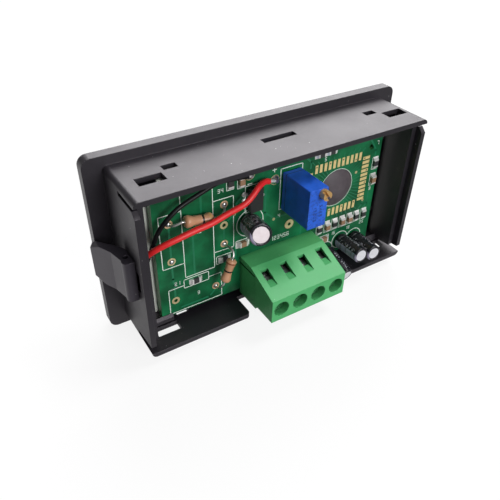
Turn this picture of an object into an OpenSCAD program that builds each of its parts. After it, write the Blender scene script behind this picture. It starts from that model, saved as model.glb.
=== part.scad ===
// Rear-wired digital panel meter: moulded case with bezel, liquid crystal display,
// circuit board with its components, spring-clamp terminal block and two panel clips.
// Origin: centre of the bezel's rear seating face. -Y is the viewing side, +Z is up.

/* [Bezel] */
// Width of the bezel
bezel_w = 79; // [77:0.5:90]
// Height of the bezel
bezel_h = 43; // [41:0.5:60]
// Thickness of the bezel
bezel_t = 3.2; // [2.6:0.1:5]
// Radius of the bezel's corners
bezel_r = 2; // [1.2:0.1:4]
// Chamfer round the bezel's front edge
bezel_chamfer = 0.7; // [0.2:0.1:1]
// Width of the viewing aperture
aperture_w = 47; // [40:0.5:49]
// Height of the viewing aperture
aperture_h = 22; // [18:0.5:26]
// Width of the ledge that the clear window sits on
window_ledge = 2; // [1:0.1:3]
// Thickness of the clear window
window_t = 1.2; // [0.8:0.1:1.8]

/* [Case walls] */
// Width over the side walls
body_w = 71.3; // [70.5:0.1:75]
// Height over the top and bottom walls
body_h = 38.8; // [38.4:0.1:40.5]
// Depth of the walls behind the bezel
body_d = 15.5; // [15:0.1:22]
// Thickness of the top and bottom walls
wall_t = 1.15; // [0.9:0.05:1.3]
// Thickness of the side walls
side_t = 2.4; // [2:0.1:2.6]
// Depth of the thinner band at the rear of the side walls
side_band = 1.8; // [1:0.1:2.2]
// Outer radius along the case's four corners
body_r = 1.2; // [0.5:0.1:1.8]
// Start of the corner slits behind the bezel
slit_start = 8; // [7:0.1:9]
// Width of the upper corner slits
slit_w = 1; // [0.6:0.1:1.4]
// Extra width of the lower corner slits at the rear
slit_flare = 1.1; // [0.4:0.1:1.6]
// Chamfer at the rear corners of the side walls
side_chamfer = 1.2; // [0.4:0.1:2]
// Width of the cable notch in the bottom wall
notch_w = 30; // [26:0.5:32]
// Start of the cable notch behind the bezel
notch_start = 9; // [8.8:0.1:11]
// Sideways place of the cable notch's centre
notch_x = -3.9; // [-5:0.1:-3]

/* [Snap fingers] */
// Distance that the board fingers' middles lie beyond the board's ends
finger_out = 0.45; // [0.3:0.05:0.6]
// Width of a board finger
finger_w = 3.8; // [3:0.1:4]
// Thickness of a finger
finger_t = 0.95; // [0.8:0.05:1.1]
// Reach of a finger's hook over what it holds
hook_reach = 0.7; // [0.4:0.05:1]
// Width of the wall opening over a board finger
finger_opening_w = 5.5; // [5:0.1:6]
// Depth of the wall opening over a board finger
finger_opening_d = 2.9; // [2.2:0.1:3.2]
// Distance between the two backlight fingers of one wall
small_pitch = 50.6; // [48:0.1:52]
// Width of the wall opening over a backlight finger
small_opening_w = 3; // [2.6:0.1:3.4]
// Width of the wall opening over the middle finger
middle_opening_w = 8.3; // [6:0.1:10]
// Depth of the wall openings over the backlight fingers
small_opening_d = 1.8; // [1.4:0.1:2]
// Sideways shift of the fingers and their openings
finger_shift = -0.85; // [-1.2:0.05:-0.6]

/* [Display] */
// Width of the display glass
lcd_w = 50.8; // [50:0.1:52]
// Height of the display glass
lcd_h = 30.5; // [28:0.1:30.6]
// Thickness of the display glass
lcd_t = 2.7; // [2:0.1:3]
// Play between the backlight panel and each side wall
panel_play = 0.65; // [0.4:0.05:1.2]
// Height of the backlight panel
backlight_h = 32.8; // [32.4:0.1:32.9]
// Thickness of the backlight panel
backlight_t = 4; // [3.6:0.1:4.4]
// Height of the elastomer strips
zebra_h = 2; // [1.6:0.1:2.2]
// Length of the elastomer strips
zebra_l = 48; // [40:0.5:50]

/* [Circuit board] */
// Distance from the backlight panel's ends to the board's ends
board_margin = 2.75; // [2.4:0.05:3.2]
// Height of the board
pcb_h = 33; // [32.8:0.1:33.2]
// Thickness of the board
pcb_t = 1.6; // [1:0.1:1.8]
// Gap between the backlight and the board
pcb_gap = 1.1; // [1:0.05:1.3]
// Sideways shift of the board
pcb_shift = 0.1; // [-0.1:0.05:0.3]
// Radius of the chip's protective cover
cover_r = 4.8; // [4:0.1:5.2]
// Height of the chip's protective cover
cover_h = 1.3; // [0.8:0.1:2]
// Spacing of the gold pads above and below the chip
row_pitch = 1.3; // [1.2:0.01:1.36]
// Spacing of the gold pads beside the chip
column_pitch = 1.14; // [1:0.01:1.16]

/* [Trimmer] */
// Width of the trimmer
trimmer_w = 4.83; // [4.4:0.01:5]
// Length of the trimmer along its face
trimmer_l = 9.53; // [9:0.01:10]
// Height of the trimmer above the board
trimmer_h = 10; // [8:0.1:11]
// Radius of the trimmer's screw
trimmer_screw_r = 1.1; // [0.9:0.05:1.2]
// Height of the screw above the trimmer
trimmer_screw_out = 1.5; // [0.8:0.1:1.8]

/* [Terminal block] */
// Distance between neighbouring wire entries
pitch = 5.08; // [5:0.01:5.2]
// Number of wire entries
poles = 4; // [4]
// Height of the block's foot on the board
block_foot = 9.6; // [9.2:0.1:9.9]
// Height of the block's step below its foot
step_h = 1.2; // [0.8:0.1:1.4]
// Depth of the block's step behind the board
step_d = 6.9; // [6:0.1:8]
// Height of the block's rear face
block_face = 6.1; // [5.6:0.1:6.4]
// Depth of the block behind the board
block_d = 13.8; // [13.4:0.1:14.6]
// Depth of the block's flat top
block_flat = 4.8; // [4.4:0.1:5]
// Thickness of the block's outer walls
block_wall = 1.2; // [1:0.05:1.3]
// Thickness of the block's roof over the chambers
roof_t = 0.9; // [0.7:0.05:1]
// Width of the chambers in the block
chamber_w = 3.9; // [3.8:0.05:4.1]
// Radius of the wire entries
entry_r = 1.6; // [1.4:0.05:1.7]
// Radius of the wire entries' wider mouths
mouth_r = 1.95; // [1.8:0.05:2.1]
// Length of a clamp spring's arm from its post to its leg
spring_arm = 4.7; // [4.4:0.1:4.9]
// Thickness of the clamp springs
spring_t = 0.35; // [0.3:0.05:0.4]
// Width of the clamp springs
spring_w = 3.4; // [3:0.1:3.5]
// Thickness of the current bars
bar_t = 0.6; // [0.5:0.05:0.7]
// Width of the current bars
bar_w = 2.1; // [1.6:0.1:2.2]

/* [Mounting clips] */
// Height of a clip
clip_h = 9.6; // [8:0.1:12]
// Depth of a clip's body
clip_d = 4.9; // [4.8:0.1:5.4]
// Thickness of a clip's body over the wall
clip_t = 2.2; // [1.9:0.1:2.4]
// Reach of a clip's leaf beyond the wall
leaf_reach = 5.4; // [4.6:0.1:6]
// Thickness of a clip's leaf
leaf_t = 0.9; // [0.7:0.05:1.1]
// Distance from the bezel to a clip's leaf
leaf_stand = 1.4; // [1.3:0.1:2.5]
// Distance from the bezel to the rear of a clip
clip_rear = 12.4; // [12.2:0.1:12.6]
// Depth of the guide channel in the side wall
channel_d = 0.9; // [0.6:0.05:1]
// Height of the guide channel at the wall's face
channel_h = 4.6; // [3:0.1:6]

/* [Hidden] */
$fn = 40;

fit = 0.1;          // clearance between pieces that are fitted together
seat = 0.05;        // clearance where one piece holds another down
over = 0.5;         // how far a cutting shape runs past the face that it cuts

// Depths of the stack, from the floor recessed into the bezel to the rear
floor_y = (window_t - bezel_t) / 2;
backlight_w = body_w - 2 * side_t - 2 * panel_play;
pcb_w = backlight_w - 2 * board_margin;
board_left = pcb_shift + pcb_w / 2;        // the board's end on the +X side
board_right = pcb_shift - pcb_w / 2;
backlight_y = floor_y + lcd_t;
backlight_rear = backlight_y + backlight_t;
pcb_y = backlight_rear + pcb_gap;
board = pcb_y + pcb_t;                     // the board's component side
inner_h = body_h - 2 * wall_t;
tongue_rear = body_d - side_band;
finger_z = pcb_h / 2 + fit;                // inner face of the fingers
board_hook_y = board + seat;
panel_hook_y = backlight_rear + seat;
hook_lead = 0.8;                           // thickness of a hook at its tip
board_hook_t = 1.7;                        // depth of an upper board finger's hook
lower_hook_t = 0.5;                        // depth of a lower board finger's hook
panel_hook_t = pcb_gap - 3 * seat;         // depth of a backlight finger's hook
lower_opening_d = finger_opening_d - 0.3;
lower_finger_w = finger_w + 0.6;
small_finger_w = small_opening_w - 0.8;
middle_finger_w = middle_opening_w - 2.3;
finger_pitch = pcb_w + 2 * finger_out;

// Extrudes a shape drawn in X and Z towards the rear
module rearward(from, depth) {
    translate([0, from, 0]) rotate([-90, 0, 0]) linear_extrude(depth) mirror([0, 1]) children();
}

// Extrudes a shape drawn in Y and Z towards +X
module sideways(from, width) {
    translate([from, 0, 0]) rotate([90, 0, 90]) linear_extrude(width) children();
}

// Extrudes a shape drawn in X and Y upwards
module upward(from, height) {
    translate([0, 0, from]) linear_extrude(height) children();
}

// Repeats a feature on both sides of the middle, left and right
module both_sides() {
    children();
    mirror([1, 0, 0]) children();
}

// Rectangle centred on the origin with round corners
module round_rect(w, h, r) {
    square([w - 2 * r, h], center = true);
    square([w, h - 2 * r], center = true);
    for (x = [-1, 1], z = [-1, 1]) translate([x * (w / 2 - r), z * (h / 2 - r)]) circle(r);
}

// Round rod between two points
module rod(from, to, r) {
    v = to - from;
    translate(from) rotate([0, acos(v.z / norm(v)), atan2(v.y, v.x)]) cylinder(h = norm(v), r = r, $fn = 24);
}

// ---- Case ----

// Bezel plate with round corners and a chamfered front edge
module bezel_plate() {
    straight_w = bezel_w - 2 * bezel_r;
    straight_h = bezel_h - 2 * bezel_r;
    c = bezel_chamfer;
    sideways(-straight_w / 2, straight_w) polygon([[0, -bezel_h / 2], [0, bezel_h / 2],
        [c - bezel_t, bezel_h / 2], [-bezel_t, bezel_h / 2 - c],
        [-bezel_t, c - bezel_h / 2], [c - bezel_t, -bezel_h / 2]]);
    upward(-straight_h / 2, straight_h) polygon([[-bezel_w / 2, 0], [bezel_w / 2, 0],
        [bezel_w / 2, c - bezel_t], [bezel_w / 2 - c, -bezel_t],
        [c - bezel_w / 2, -bezel_t], [-bezel_w / 2, c - bezel_t]]);
    for (x = [-1, 1], z = [-1, 1])
        translate([x * straight_w / 2, 0, z * straight_h / 2]) rotate([90, 0, 0]) rotate_extrude()
            polygon([[0, 0], [bezel_r, 0], [bezel_r, bezel_t - c], [bezel_r - c, bezel_t], [0, bezel_t]]);
}

// The four walls as one tube, with the side walls thicker inside up to their rear band
module wall_tube() {
    difference() {
        rearward(-over, body_d + over) round_rect(body_w, body_h, body_r);
        rearward(0, tongue_rear) square([body_w - 2 * side_t, inner_h], center = true);
        rearward(tongue_rear, side_band + over) square([body_w - 2 * wall_t, inner_h], center = true);
    }
}

// Slits that part a side wall from the top and bottom walls
module corner_slits() {
    upper = inner_h / 2;
    x = body_w / 2 - side_t - over;
    sideways(x, side_t + 2 * over) polygon([[slit_start, upper - slit_w], [slit_start, upper],
        [body_d + over, upper], [body_d + over, upper - slit_w - side_chamfer - over],
        [body_d - side_chamfer, upper - slit_w]]);
    sideways(x, side_t + 2 * over) polygon([[slit_start, -upper + slit_w], [slit_start, -upper],
        [body_d + over, -upper], [body_d + over, -upper + slit_w + slit_flare]]);
}

// Opening through the top wall, centred at x and reaching from y to y + d
module wall_opening(x, w, y, d) {
    translate([x - w / 2, y, inner_h / 2 - over]) cube([w, d, wall_t + 2 * over]);
}

// Openings of one wall; those over the board fingers reach from y to y + d
module wall_openings(y, d) {
    for (side = [-1, 1]) {
        wall_opening(side * (finger_pitch / 2 + fit) + finger_shift, finger_opening_w, y, d);
        wall_opening(side * small_pitch / 2 + finger_shift, small_opening_w,
            panel_hook_y - hook_lead / 2, small_opening_d);
    }
    wall_opening(finger_shift, middle_opening_w, panel_hook_y - hook_lead / 2, small_opening_d);
}

// Cantilever finger with a hook at y, standing on the recessed floor
module snap_finger(x, w, y, hook_t) {
    tip = finger_z - fit - hook_reach;
    root = floor_y - over;
    sideways(x - w / 2, w) polygon([[root, finger_z], [y, finger_z], [y, tip], [y + hook_t / 4, tip],
        [y + hook_t, finger_z], [y + hook_t, finger_z + finger_t], [root, finger_z + finger_t]]);
}

// Fingers along one wall; the board fingers have the width w and the hook depth hook_t
module snap_fingers(w, hook_t) {
    for (side = [-1, 1]) {
        snap_finger(side * finger_pitch / 2 + 0.8 * finger_shift, w, board_hook_y, hook_t);
        snap_finger(side * small_pitch / 2 + finger_shift, small_finger_w, panel_hook_y, panel_hook_t);
    }
    snap_finger(finger_shift, middle_finger_w, panel_hook_y, panel_hook_t);
}

// Notch in the bottom wall that the terminal block and its cables look out of
module cable_notch() {
    r = 1;
    upward(-body_h / 2 - over, wall_t + 2 * over) {
        translate([notch_x - notch_w / 2, notch_start]) square([notch_w, body_d]);
        for (side = [-1, 1]) translate([notch_x + side * (notch_w / 2 + r), body_d - r]) difference() {
            translate([side > 0 ? -r : 0, 0]) square([r, r + over]);
            circle(r);
        }
    }
}

// Rim and ribs on the bezel's inner face that locate the display and the backlight
module locating_ribs() {
    rim_t = 1;
    rib_t = 1.2;
    rib_z = [-10, 11];
    rearward(floor_y - over, lcd_t - fit + over) difference() {
        square([lcd_w + 2 * fit + 2 * rim_t, lcd_h + 2 * fit + 2 * rim_t], center = true);
        square([lcd_w + 2 * fit, lcd_h + 2 * fit], center = true);
    }
    rib_x = backlight_w / 2 + fit;
    for (side = [-1, 1], z = rib_z)
        translate([side > 0 ? rib_x : -body_w / 2 + side_t - over, floor_y - over, z])
            cube([body_w / 2 - side_t - rib_x + over, backlight_rear - floor_y + over - fit, rib_t]);
}

// Dovetail channel in a side wall that guides a mounting clip
module clip_channel() {
    face = body_w / 2;
    flare = 0.4;
    rearward(channel_front, channel_rear - channel_front) polygon([[face + over, -channel_h / 2],
        [face, -channel_h / 2], [face - channel_d, -channel_h / 2 - flare],
        [face - channel_d, channel_h / 2 + flare], [face, channel_h / 2], [face + over, channel_h / 2]]);
}

module case() {
    color([0.09, 0.09, 0.11]) difference() {
        union() {
            difference() {
                union() {
                    bezel_plate();
                    wall_tube();
                }
                rearward(floor_y, over - floor_y) square([body_w - 2 * side_t, inner_h], center = true);
                both_sides() corner_slits();
                wall_openings(board_hook_y - hook_lead, finger_opening_d);
                mirror([0, 0, 1]) wall_openings(board_hook_y + lower_hook_t - fit, lower_opening_d);
                cable_notch();
                both_sides() clip_channel();
            }
            snap_fingers(finger_w, board_hook_t);
            mirror([0, 0, 1]) snap_fingers(lower_finger_w, lower_hook_t);
            locating_ribs();
        }
        rearward(-bezel_t - over, bezel_t + 2 * over) square([aperture_w, aperture_h], center = true);
        rearward(-bezel_t - over, window_t + over)
            square([aperture_w + 2 * window_ledge, aperture_h + 2 * window_ledge], center = true);
    }
}

// ---- Display ----

// Clear window in the bezel's front
module front_window() {
    edge = window_ledge - fit;
    color([0.8, 0.88, 0.9, 0.5]) rearward(-bezel_t, window_t)
        square([aperture_w + 2 * edge, aperture_h + 2 * edge], center = true);
}

// Liquid crystal cell
module lcd_glass() {
    color([0.62, 0.68, 0.6]) rearward(floor_y, lcd_t) square([lcd_w, lcd_h], center = true);
}

zebra_z = lcd_h / 2 - zebra_h / 2 - 0.3;     // height of the elastomer strips' middle

// Conductive elastomer strip between the display and the board
module zebra_strip(z) {
    color([0.75, 0.3, 0.25]) rearward(backlight_y, pcb_y - backlight_y)
        translate([0, z]) square([zebra_l, zebra_h], center = true);
}

module zebra_strip_upper() {
    zebra_strip(zebra_z);
}

module zebra_strip_lower() {
    zebra_strip(-zebra_z);
}

foot_w = 3;                                  // width of the board's supports
foot_l = 1.6;                                // height of the board's supports

// White light guide with supports for the board
module backlight_panel() {
    color([0.93, 0.93, 0.9]) {
        difference() {
            rearward(backlight_y, backlight_t) square([backlight_w, backlight_h], center = true);
            for (z = [-zebra_z, zebra_z]) rearward(backlight_y - over, backlight_t + 2 * over)
                translate([0, z]) square([zebra_l + 2 * fit, zebra_h + 2 * fit], center = true);
        }
        for (x = [-1, 1], z = [-1, 1]) rearward(backlight_rear - over, pcb_gap + over)
            translate([x * (zebra_l / 2 + foot_w), z * zebra_z]) square([foot_w, foot_l], center = true);
    }
}

// ---- Board ----

lead_r = 0.25;                               // radius of the components' leads
hole_r = lead_r + fit;                       // radius of the board's drilled holes
trim = 0.1;                                  // leads are cut this far inside the board's far face
peg_hole_r = 0.8;                            // radius of the board's unplated locating hole

trimmer_x = board_right + 26.55;
trimmer_z = 7.4;
trimmer_pin_pitch = 2.54;
function trimmer_pin(i) = [trimmer_x, trimmer_z + (i - 1) * trimmer_pin_pitch];

block_x = board_right + 29.48;                // middle of the terminal block
block_z = -pcb_h / 2 + 0.1;                  // underside of the terminal block
block_w = poles * pitch;
function pole_x(i) = block_x + (poles / 2 - 0.5 - i) * pitch;
pin_z = block_z + 4.4;                       // height of the contact pins
pin_w = 1;                                   // width and depth of the contact pins

wire_r = 0.6;                                // radius of the backlight's leads

// Places on the board, measured from its right or its left end
function from_right(p) = [board_right + p.x, p.y];
function from_left(p) = [board_left - p.x, p.y];

plus_pad = from_right([30.85, 10.7]);
minus_pad = from_right([37.25, 13.7]);
open_pads = [from_left([3.35, -1.6]), from_left([3.55, -12.6]), from_right([43.65, 3.3]),
    from_right([26.15, -2.5])];

// Electrolytic capacitors: foot and top of the axis, radius, and length of the can
large_foot = from_right([37.35, 1.9]);
large_lean = [0.28, 0.31];
small_feet = [from_right([9.35, -13.2]), from_right([4.75, -13.9]), from_right([14.15, -14.6])];
small_lean = [[0.05, 0.08], [0.08, 0.05], [-0.02, -0.28]];
large_can_r = 2.5;
small_can_r = 2;
large_can_l = 8;
small_can_l = 8.5;
lead_gap = 1;                                // half the distance between a capacitor's leads

resistor_upper_ends = [from_left([3.35, 7.9]), from_right([43.55, 8.5])];
resistor_lower_ends = [from_right([43.65, -1.6]), from_right([46.05, -12.7])];

// Holes drilled for round leads
function capacitor_holes(foot) = [foot + [lead_gap, 0], foot - [lead_gap, 0]];
lead_holes = concat([for (i = [0:2]) trimmer_pin(i)], capacitor_holes(large_foot),
    [for (foot = small_feet) each capacitor_holes(foot)], resistor_upper_ends, resistor_lower_ends);

module pcb() {
    color([0.05, 0.32, 0.17]) rearward(pcb_y, pcb_t) difference() {
        translate([pcb_shift, 0]) square([pcb_w, pcb_h], center = true);
        for (p = lead_holes) translate(p) circle(hole_r, $fn = 20);
        for (p = open_pads) translate(p) circle(0.45, $fn = 20);
        translate(from_right([3.05, 11.7])) circle(peg_hole_r);
        for (i = [0:poles - 1]) translate([pole_x(i), pin_z]) square(pin_w + 2 * fit, center = true);
    }
}

pad_t = 0.05;                                // thickness of the printed pads
chip_x = board_right + 12.95;
chip_z = 3.4;
row_z = 6.6;                                 // distance of the pad rows from the chip's centre
column_x = 8.6;                              // distance of the pad columns from the chip's centre
pad_count = 11;                              // pads in a row

// Two rows and two columns of gold pads round the chip
module gold_pads() {
    color([0.85, 0.68, 0.3]) rearward(board, pad_t) translate([chip_x, chip_z])
        for (side = [-1, 1], i = [0:pad_count - 1]) {
            step = i - (pad_count - 1) / 2;
            translate([step * row_pitch, side * row_z]) square([0.6, 1.3], center = true);
            translate([side * column_x, step * column_pitch]) square([1.3, 0.6], center = true);
        }
}

// Tinned rings round the empty holes and the two wire pads
module solder_pads() {
    color([0.72, 0.62, 0.36]) rearward(board, pad_t) {
        for (p = open_pads) translate(p) difference() {
            circle(0.95);
            circle(0.45, $fn = 20);
        }
        for (p = [plus_pad, minus_pad]) translate(p) circle(1.2);
    }
}

// Black resin dome over the bonded chip
module chip_cover() {
    dome_r = (cover_r * cover_r + cover_h * cover_h) / (2 * cover_h);
    color([0.2, 0.17, 0.19]) translate([chip_x, board, chip_z]) rotate([-90, 0, 0])
        rotate_extrude() intersection() {
            translate([0, cover_h - dome_r]) circle(dome_r, $fn = 96);
            square([cover_r, cover_h]);
        }
}

// ---- Trimmer ----

trimmer_base = board + 0.4;                  // the trimmer stands on small feet
trimmer_rear = board + trimmer_h;
screw_x = trimmer_x - trimmer_w / 2 + 1.3;
screw_z = trimmer_z + trimmer_l / 2 - 1.3;
screw_depth = 3;                             // depth of the screw's bore in the trimmer

module trimmer_body() {
    color([0.05, 0.25, 0.65]) difference() {
        union() {
            rearward(trimmer_base, trimmer_h - 0.4) translate([trimmer_x, trimmer_z])
                round_rect(trimmer_w, trimmer_l, 0.25);
            for (x = [-1, 1], z = [-1, 1]) rearward(board, 0.5)
                translate([trimmer_x + x * (trimmer_w / 2 - 0.6), trimmer_z + z * (trimmer_l / 2 - 0.6)])
                    square(0.8, center = true);
        }
        translate([screw_x, trimmer_rear - screw_depth, screw_z]) rotate([-90, 0, 0])
            cylinder(h = screw_depth + over, r = trimmer_screw_r + seat);
    }
}

module trimmer_pins() {
    color([0.8, 0.8, 0.8]) for (i = [0:2]) {
        p = trimmer_pin(i);
        rod([p.x, pcb_y + trim, p.y], [p.x, trimmer_base, p.y], lead_r);
    }
}

// Brass adjusting screw with a driver slot
module trimmer_screw() {
    length = screw_depth - seat + trimmer_screw_out;
    slot_d = 0.8;
    color([0.72, 0.55, 0.28]) translate([screw_x, trimmer_rear - screw_depth + seat, screw_z])
        rotate([-90, 0, 0]) difference() {
            cylinder(h = length, r = trimmer_screw_r);
            rotate(35) translate([-0.3, -trimmer_screw_r - over, length - slot_d])
                cube([0.6, 2 * trimmer_screw_r + 2 * over, slot_d + over]);
        }
}

// ---- Terminal block ----

block_top = block_z + block_foot;            // flat top of the block
face_top = block_z + block_face;             // upper edge of the block's rear face
block_rear = board + block_d;
slope_y = board + block_flat;
slope = (block_top - face_top) / (block_rear - slope_y);
function slope_z(y) = block_top - slope * (y - slope_y);
entry_z = block_z + 3.15;                    // height of the wire entries' axes
post_y = board + 3.8;                        // middle of the posts that carry the springs
post_z = block_top - 3.1;
post_r = 1.08;
loop_r = post_r + 0.07 + spring_t;           // outer radius of a spring's loop
chamber_top = block_top - roof_t;
entry_d = 3;                                 // depth of the wire entries up to the chambers
mouth_d = 2;                                 // depth of the entries' wider mouths
chamber_rear = block_rear - entry_d;
bar_top = post_z - loop_r - 0.15;            // upper face of the current bars
bar_z = bar_top - bar_t;
slot_y = slope_y + 1.3;                      // start of the release slots
slot_d = 2.2;                                // depth of the release slots along the slope
slot_w = 1.9;                                // width of the release slots

// Outline of the block seen from its side
module block_outline() {
    step_y = board + step_d;
    polygon([[board, block_z - step_h], [board, block_top], [slope_y, block_top], [block_rear, face_top],
        [block_rear, block_z], [step_y, block_z], [step_y, block_z - step_h]]);
}

// Chamber for one clamp, seen from its side
module chamber_outline() {
    polygon([[board + block_wall, block_z + block_wall], [board + block_wall, chamber_top],
        [slope_y, chamber_top], [chamber_rear, slope_z(chamber_rear) - roof_t],
        [chamber_rear, block_z + block_wall]]);
}

// Release slot with a ramp that guides the screwdriver's tip
module slot_outline() {
    ramp_end = slot_y + 4.4;
    inner = slot_y + slot_d;
    polygon([[slot_y, slope_z(inner) - roof_t - over], [slot_y, block_top + over],
        [ramp_end, block_top + over], [ramp_end, slope_z(ramp_end)], [inner, slope_z(inner) - 0.8 * roof_t],
        [inner, slope_z(inner) - roof_t - over]]);
}

// Recess in the block's +X side with a dovetail groove above it
module side_recess() {
    groove = 0.35;
    recess = 0.12;
    side = block_x + block_w / 2;
    groove_z = block_top - 1.85;
    translate([side - groove, board - over, groove_z]) cube([groove + over, step_d + over - 0.4, 0.6]);
    translate([side - recess, board - over, block_z - step_h - over])
        cube([recess + over, step_d + over, groove_z + over - block_z + step_h]);
}

module terminal_housing() {
    color([0.2, 0.6, 0.3]) difference() {
        union() {
            difference() {
                sideways(block_x - block_w / 2, block_w) block_outline();
                for (i = [0:poles - 1]) {
                    sideways(pole_x(i) - chamber_w / 2, chamber_w) chamber_outline();
                    sideways(pole_x(i) - slot_w / 2, slot_w) slot_outline();
                }
            }
            translate([block_x - block_w / 2 + block_wall / 2, post_y, post_z]) rotate([0, 90, 0])
                cylinder(h = block_w - block_wall, r = post_r);
        }
        for (i = [0:poles - 1]) {
            translate([pole_x(i), chamber_rear - over, entry_z]) rotate([-90, 0, 0])
                cylinder(h = entry_d + 2 * over, r = entry_r);
            translate([pole_x(i), block_rear - mouth_d, entry_z]) rotate([-90, 0, 0])
                cylinder(h = mouth_d + over, r = mouth_r);
            rearward(board - over, block_wall + 2 * over)
                translate([pole_x(i), pin_z]) square(pin_w + 2 * fit, center = true);
        }
        side_recess();
    }
}

// Pin, foot and current bar of one terminal, bent from one strip
module terminal_contact(i) {
    x = pole_x(i);
    foot_y = board + block_wall;
    translate([x - pin_w / 2, pcb_y + trim, pin_z - pin_w / 2]) cube([pin_w, foot_y - pcb_y - trim, pin_w]);
    translate([x - bar_w / 2, foot_y, pin_z - pin_w / 2]) cube([bar_w, bar_t, bar_top - pin_z + pin_w / 2]);
    translate([x - bar_w / 2, foot_y, bar_z]) cube([bar_w, spring_y + 1.2 - foot_y, bar_t]);
}

module terminal_contacts() {
    color([0.8, 0.8, 0.82]) for (i = [0:poles - 1]) terminal_contact(i);
}

spring_y = post_y + spring_arm;              // front face of a spring's clamping leg

// Bent strip that clamps a wire against the current bar: loop, dipped arm, leg with its window
module clamp_spring(i) {
    arm_z = slope_z(spring_y + spring_t) - roof_t - 0.1;
    foot_z = bar_z - seat;
    left = pole_x(i) - spring_w / 2;
    dip_y = post_y + spring_arm / 2;
    dip_z = arm_z + 0.1;
    color([0.85, 0.85, 0.88]) difference() {
        union() {
            translate([left, post_y, post_z]) rotate([0, 90, 0]) cylinder(h = spring_w, r = loop_r);
            sideways(left, spring_w) polygon([[post_y, post_z + loop_r - spring_t],
                [post_y, post_z + loop_r - spring_t / 4], [dip_y, dip_z], [spring_y + spring_t, arm_z],
                [spring_y + spring_t, foot_z - spring_t], [spring_y, foot_z - spring_t],
                [spring_y, arm_z - spring_t], [dip_y, dip_z - spring_t]]);
        }
        translate([left - over, post_y, post_z]) rotate([0, 90, 0])
            cylinder(h = spring_w + 2 * over, r = loop_r - spring_t);
        translate([pole_x(i) - bar_w / 2 - fit, spring_y - over, foot_z])
            cube([bar_w + 2 * fit, spring_t + 2 * over, arm_z - spring_t - foot_z]);
    }
}

module clamp_spring_1() {
    clamp_spring(0);
}

module clamp_spring_2() {
    clamp_spring(1);
}

module clamp_spring_3() {
    clamp_spring(2);
}

module clamp_spring_4() {
    clamp_spring(3);
}

// ---- Leaded components ----

// Direction of a capacitor's axis that leans by lean for each unit of height
function axis_of(lean) = [lean.x, 1, lean.y] / norm([lean.x, 1, lean.y]);
// Centre of a leaning can's base, with its lowest edge just off the board
function base_of(foot, lean, r) = let (a = axis_of(lean), rise = r * sqrt(1 - a.y * a.y) + 0.3)
    [foot.x + lean.x * rise, board + rise, foot.y + lean.y * rise];

// Sleeved can with a crimp above its base and a bare metal top
module can(foot, lean, r, length) {
    a = axis_of(lean);
    base = base_of(foot, lean, r);
    edge = 0.35;
    crimp_y = 1.4;
    crimp_r = 0.25;
    translate(base) rotate([0, acos(a.z), atan2(a.y, a.x)]) rotate_extrude() difference() {
        union() {
            square([r - edge, length - 0.1]);
            translate([0, edge]) square([r, length - 2 * edge]);
            translate([r - edge, edge]) circle(edge, $fn = 24);
            translate([r - edge, length - edge]) circle(edge, $fn = 24);
        }
        translate([-r, 0]) square([r, length + over]);
        translate([r + crimp_r * 0.4, crimp_y]) circle(crimp_r, $fn = 24);
    }
}

// Bent lead from the board into a leaning can's base
module can_lead(hole, foot, lean, r) {
    a = axis_of(lean);
    base = base_of(foot, lean, r);
    side = hole.x > foot.x ? 1 : -1;
    across = [a.y, -a.x, 0] / norm([a.y, -a.x, 0]);
    entry = base + across * side * lead_gap;
    bend_low = [hole.x, board + lead_r, hole.y];
    bend_high = entry - a * lead_r;
    tube([[hole.x, pcb_y + trim, hole.y], bend_low, bend_high, entry], lead_r);
}

module capacitor_large() {
    color([0.13, 0.12, 0.14]) can(large_foot, large_lean, large_can_r, large_can_l);
}

module capacitor_small(i) {
    color([0.13, 0.12, 0.14]) can(small_feet[i], small_lean[i], small_can_r, small_can_l);
}

module capacitor_small_1() {
    capacitor_small(0);
}

module capacitor_small_2() {
    capacitor_small(1);
}

module capacitor_small_3() {
    capacitor_small(2);
}

module capacitor_leads() {
    color([0.8, 0.8, 0.82]) {
        for (hole = capacitor_holes(large_foot)) can_lead(hole, large_foot, large_lean, large_can_r);
        for (i = [0:2], hole = capacitor_holes(small_feet[i]))
            can_lead(hole, small_feet[i], small_lean[i], small_can_r);
    }
}

// Place of a resistor body's end: part of the way between its holes, offset along the board
function body_end(holes, part, height, offset) = let (p = holes[0] + part * (holes[1] - holes[0]) + offset)
    [p.x, board + height, p.y];

// Axial resistor with bent leads; from and to are the ends of its body's axis
module resistor(holes, from, to) {
    r = 1;
    bead = 1.7;
    bead_r = 1.15;
    v = to - from;
    color([0.8, 0.62, 0.42]) {
        rod(from, to, r);
        translate(from) rotate([0, acos(v.z / norm(v)), atan2(v.y, v.x)]) rotate_extrude() {
            for (z = [bead / 2, norm(v) - bead / 2]) intersection() {
                translate([0, z]) circle(bead_r, $fn = 32);
                translate([0, z - bead / 2]) square([bead_r, bead]);
            }
        }
    }
    ends = [from, to];
    for (i = [0, 1]) {
        hole = holes[i];
        top = [hole.x, ends[i].y, hole.y];
        color([0.8, 0.8, 0.82]) {
            rod([hole.x, pcb_y + trim, hole.y], top, lead_r);
            translate(top) sphere(lead_r, $fn = 24);
            rod(top, ends[i], lead_r);
        }
    }
}

module resistor_upper() {
    holes = resistor_upper_ends;
    resistor(holes, body_end(holes, 0.21, 1.8, [0, 0.6]), body_end(holes, 0.7, 1.8, [0, -0.9]));
}

module resistor_lower() {
    holes = resistor_lower_ends;
    resistor(holes, body_end(holes, 0.19, 3.4, [-0.5, 0]), body_end(holes, 0.68, 3.4, [0.3, 0]));
}

// ---- Surface-mounted components ----

regulator_x = board_right + 36.25;
regulator_z = 7.9;
regulator_w = 3.2;
regulator_l = 5.6;

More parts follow.
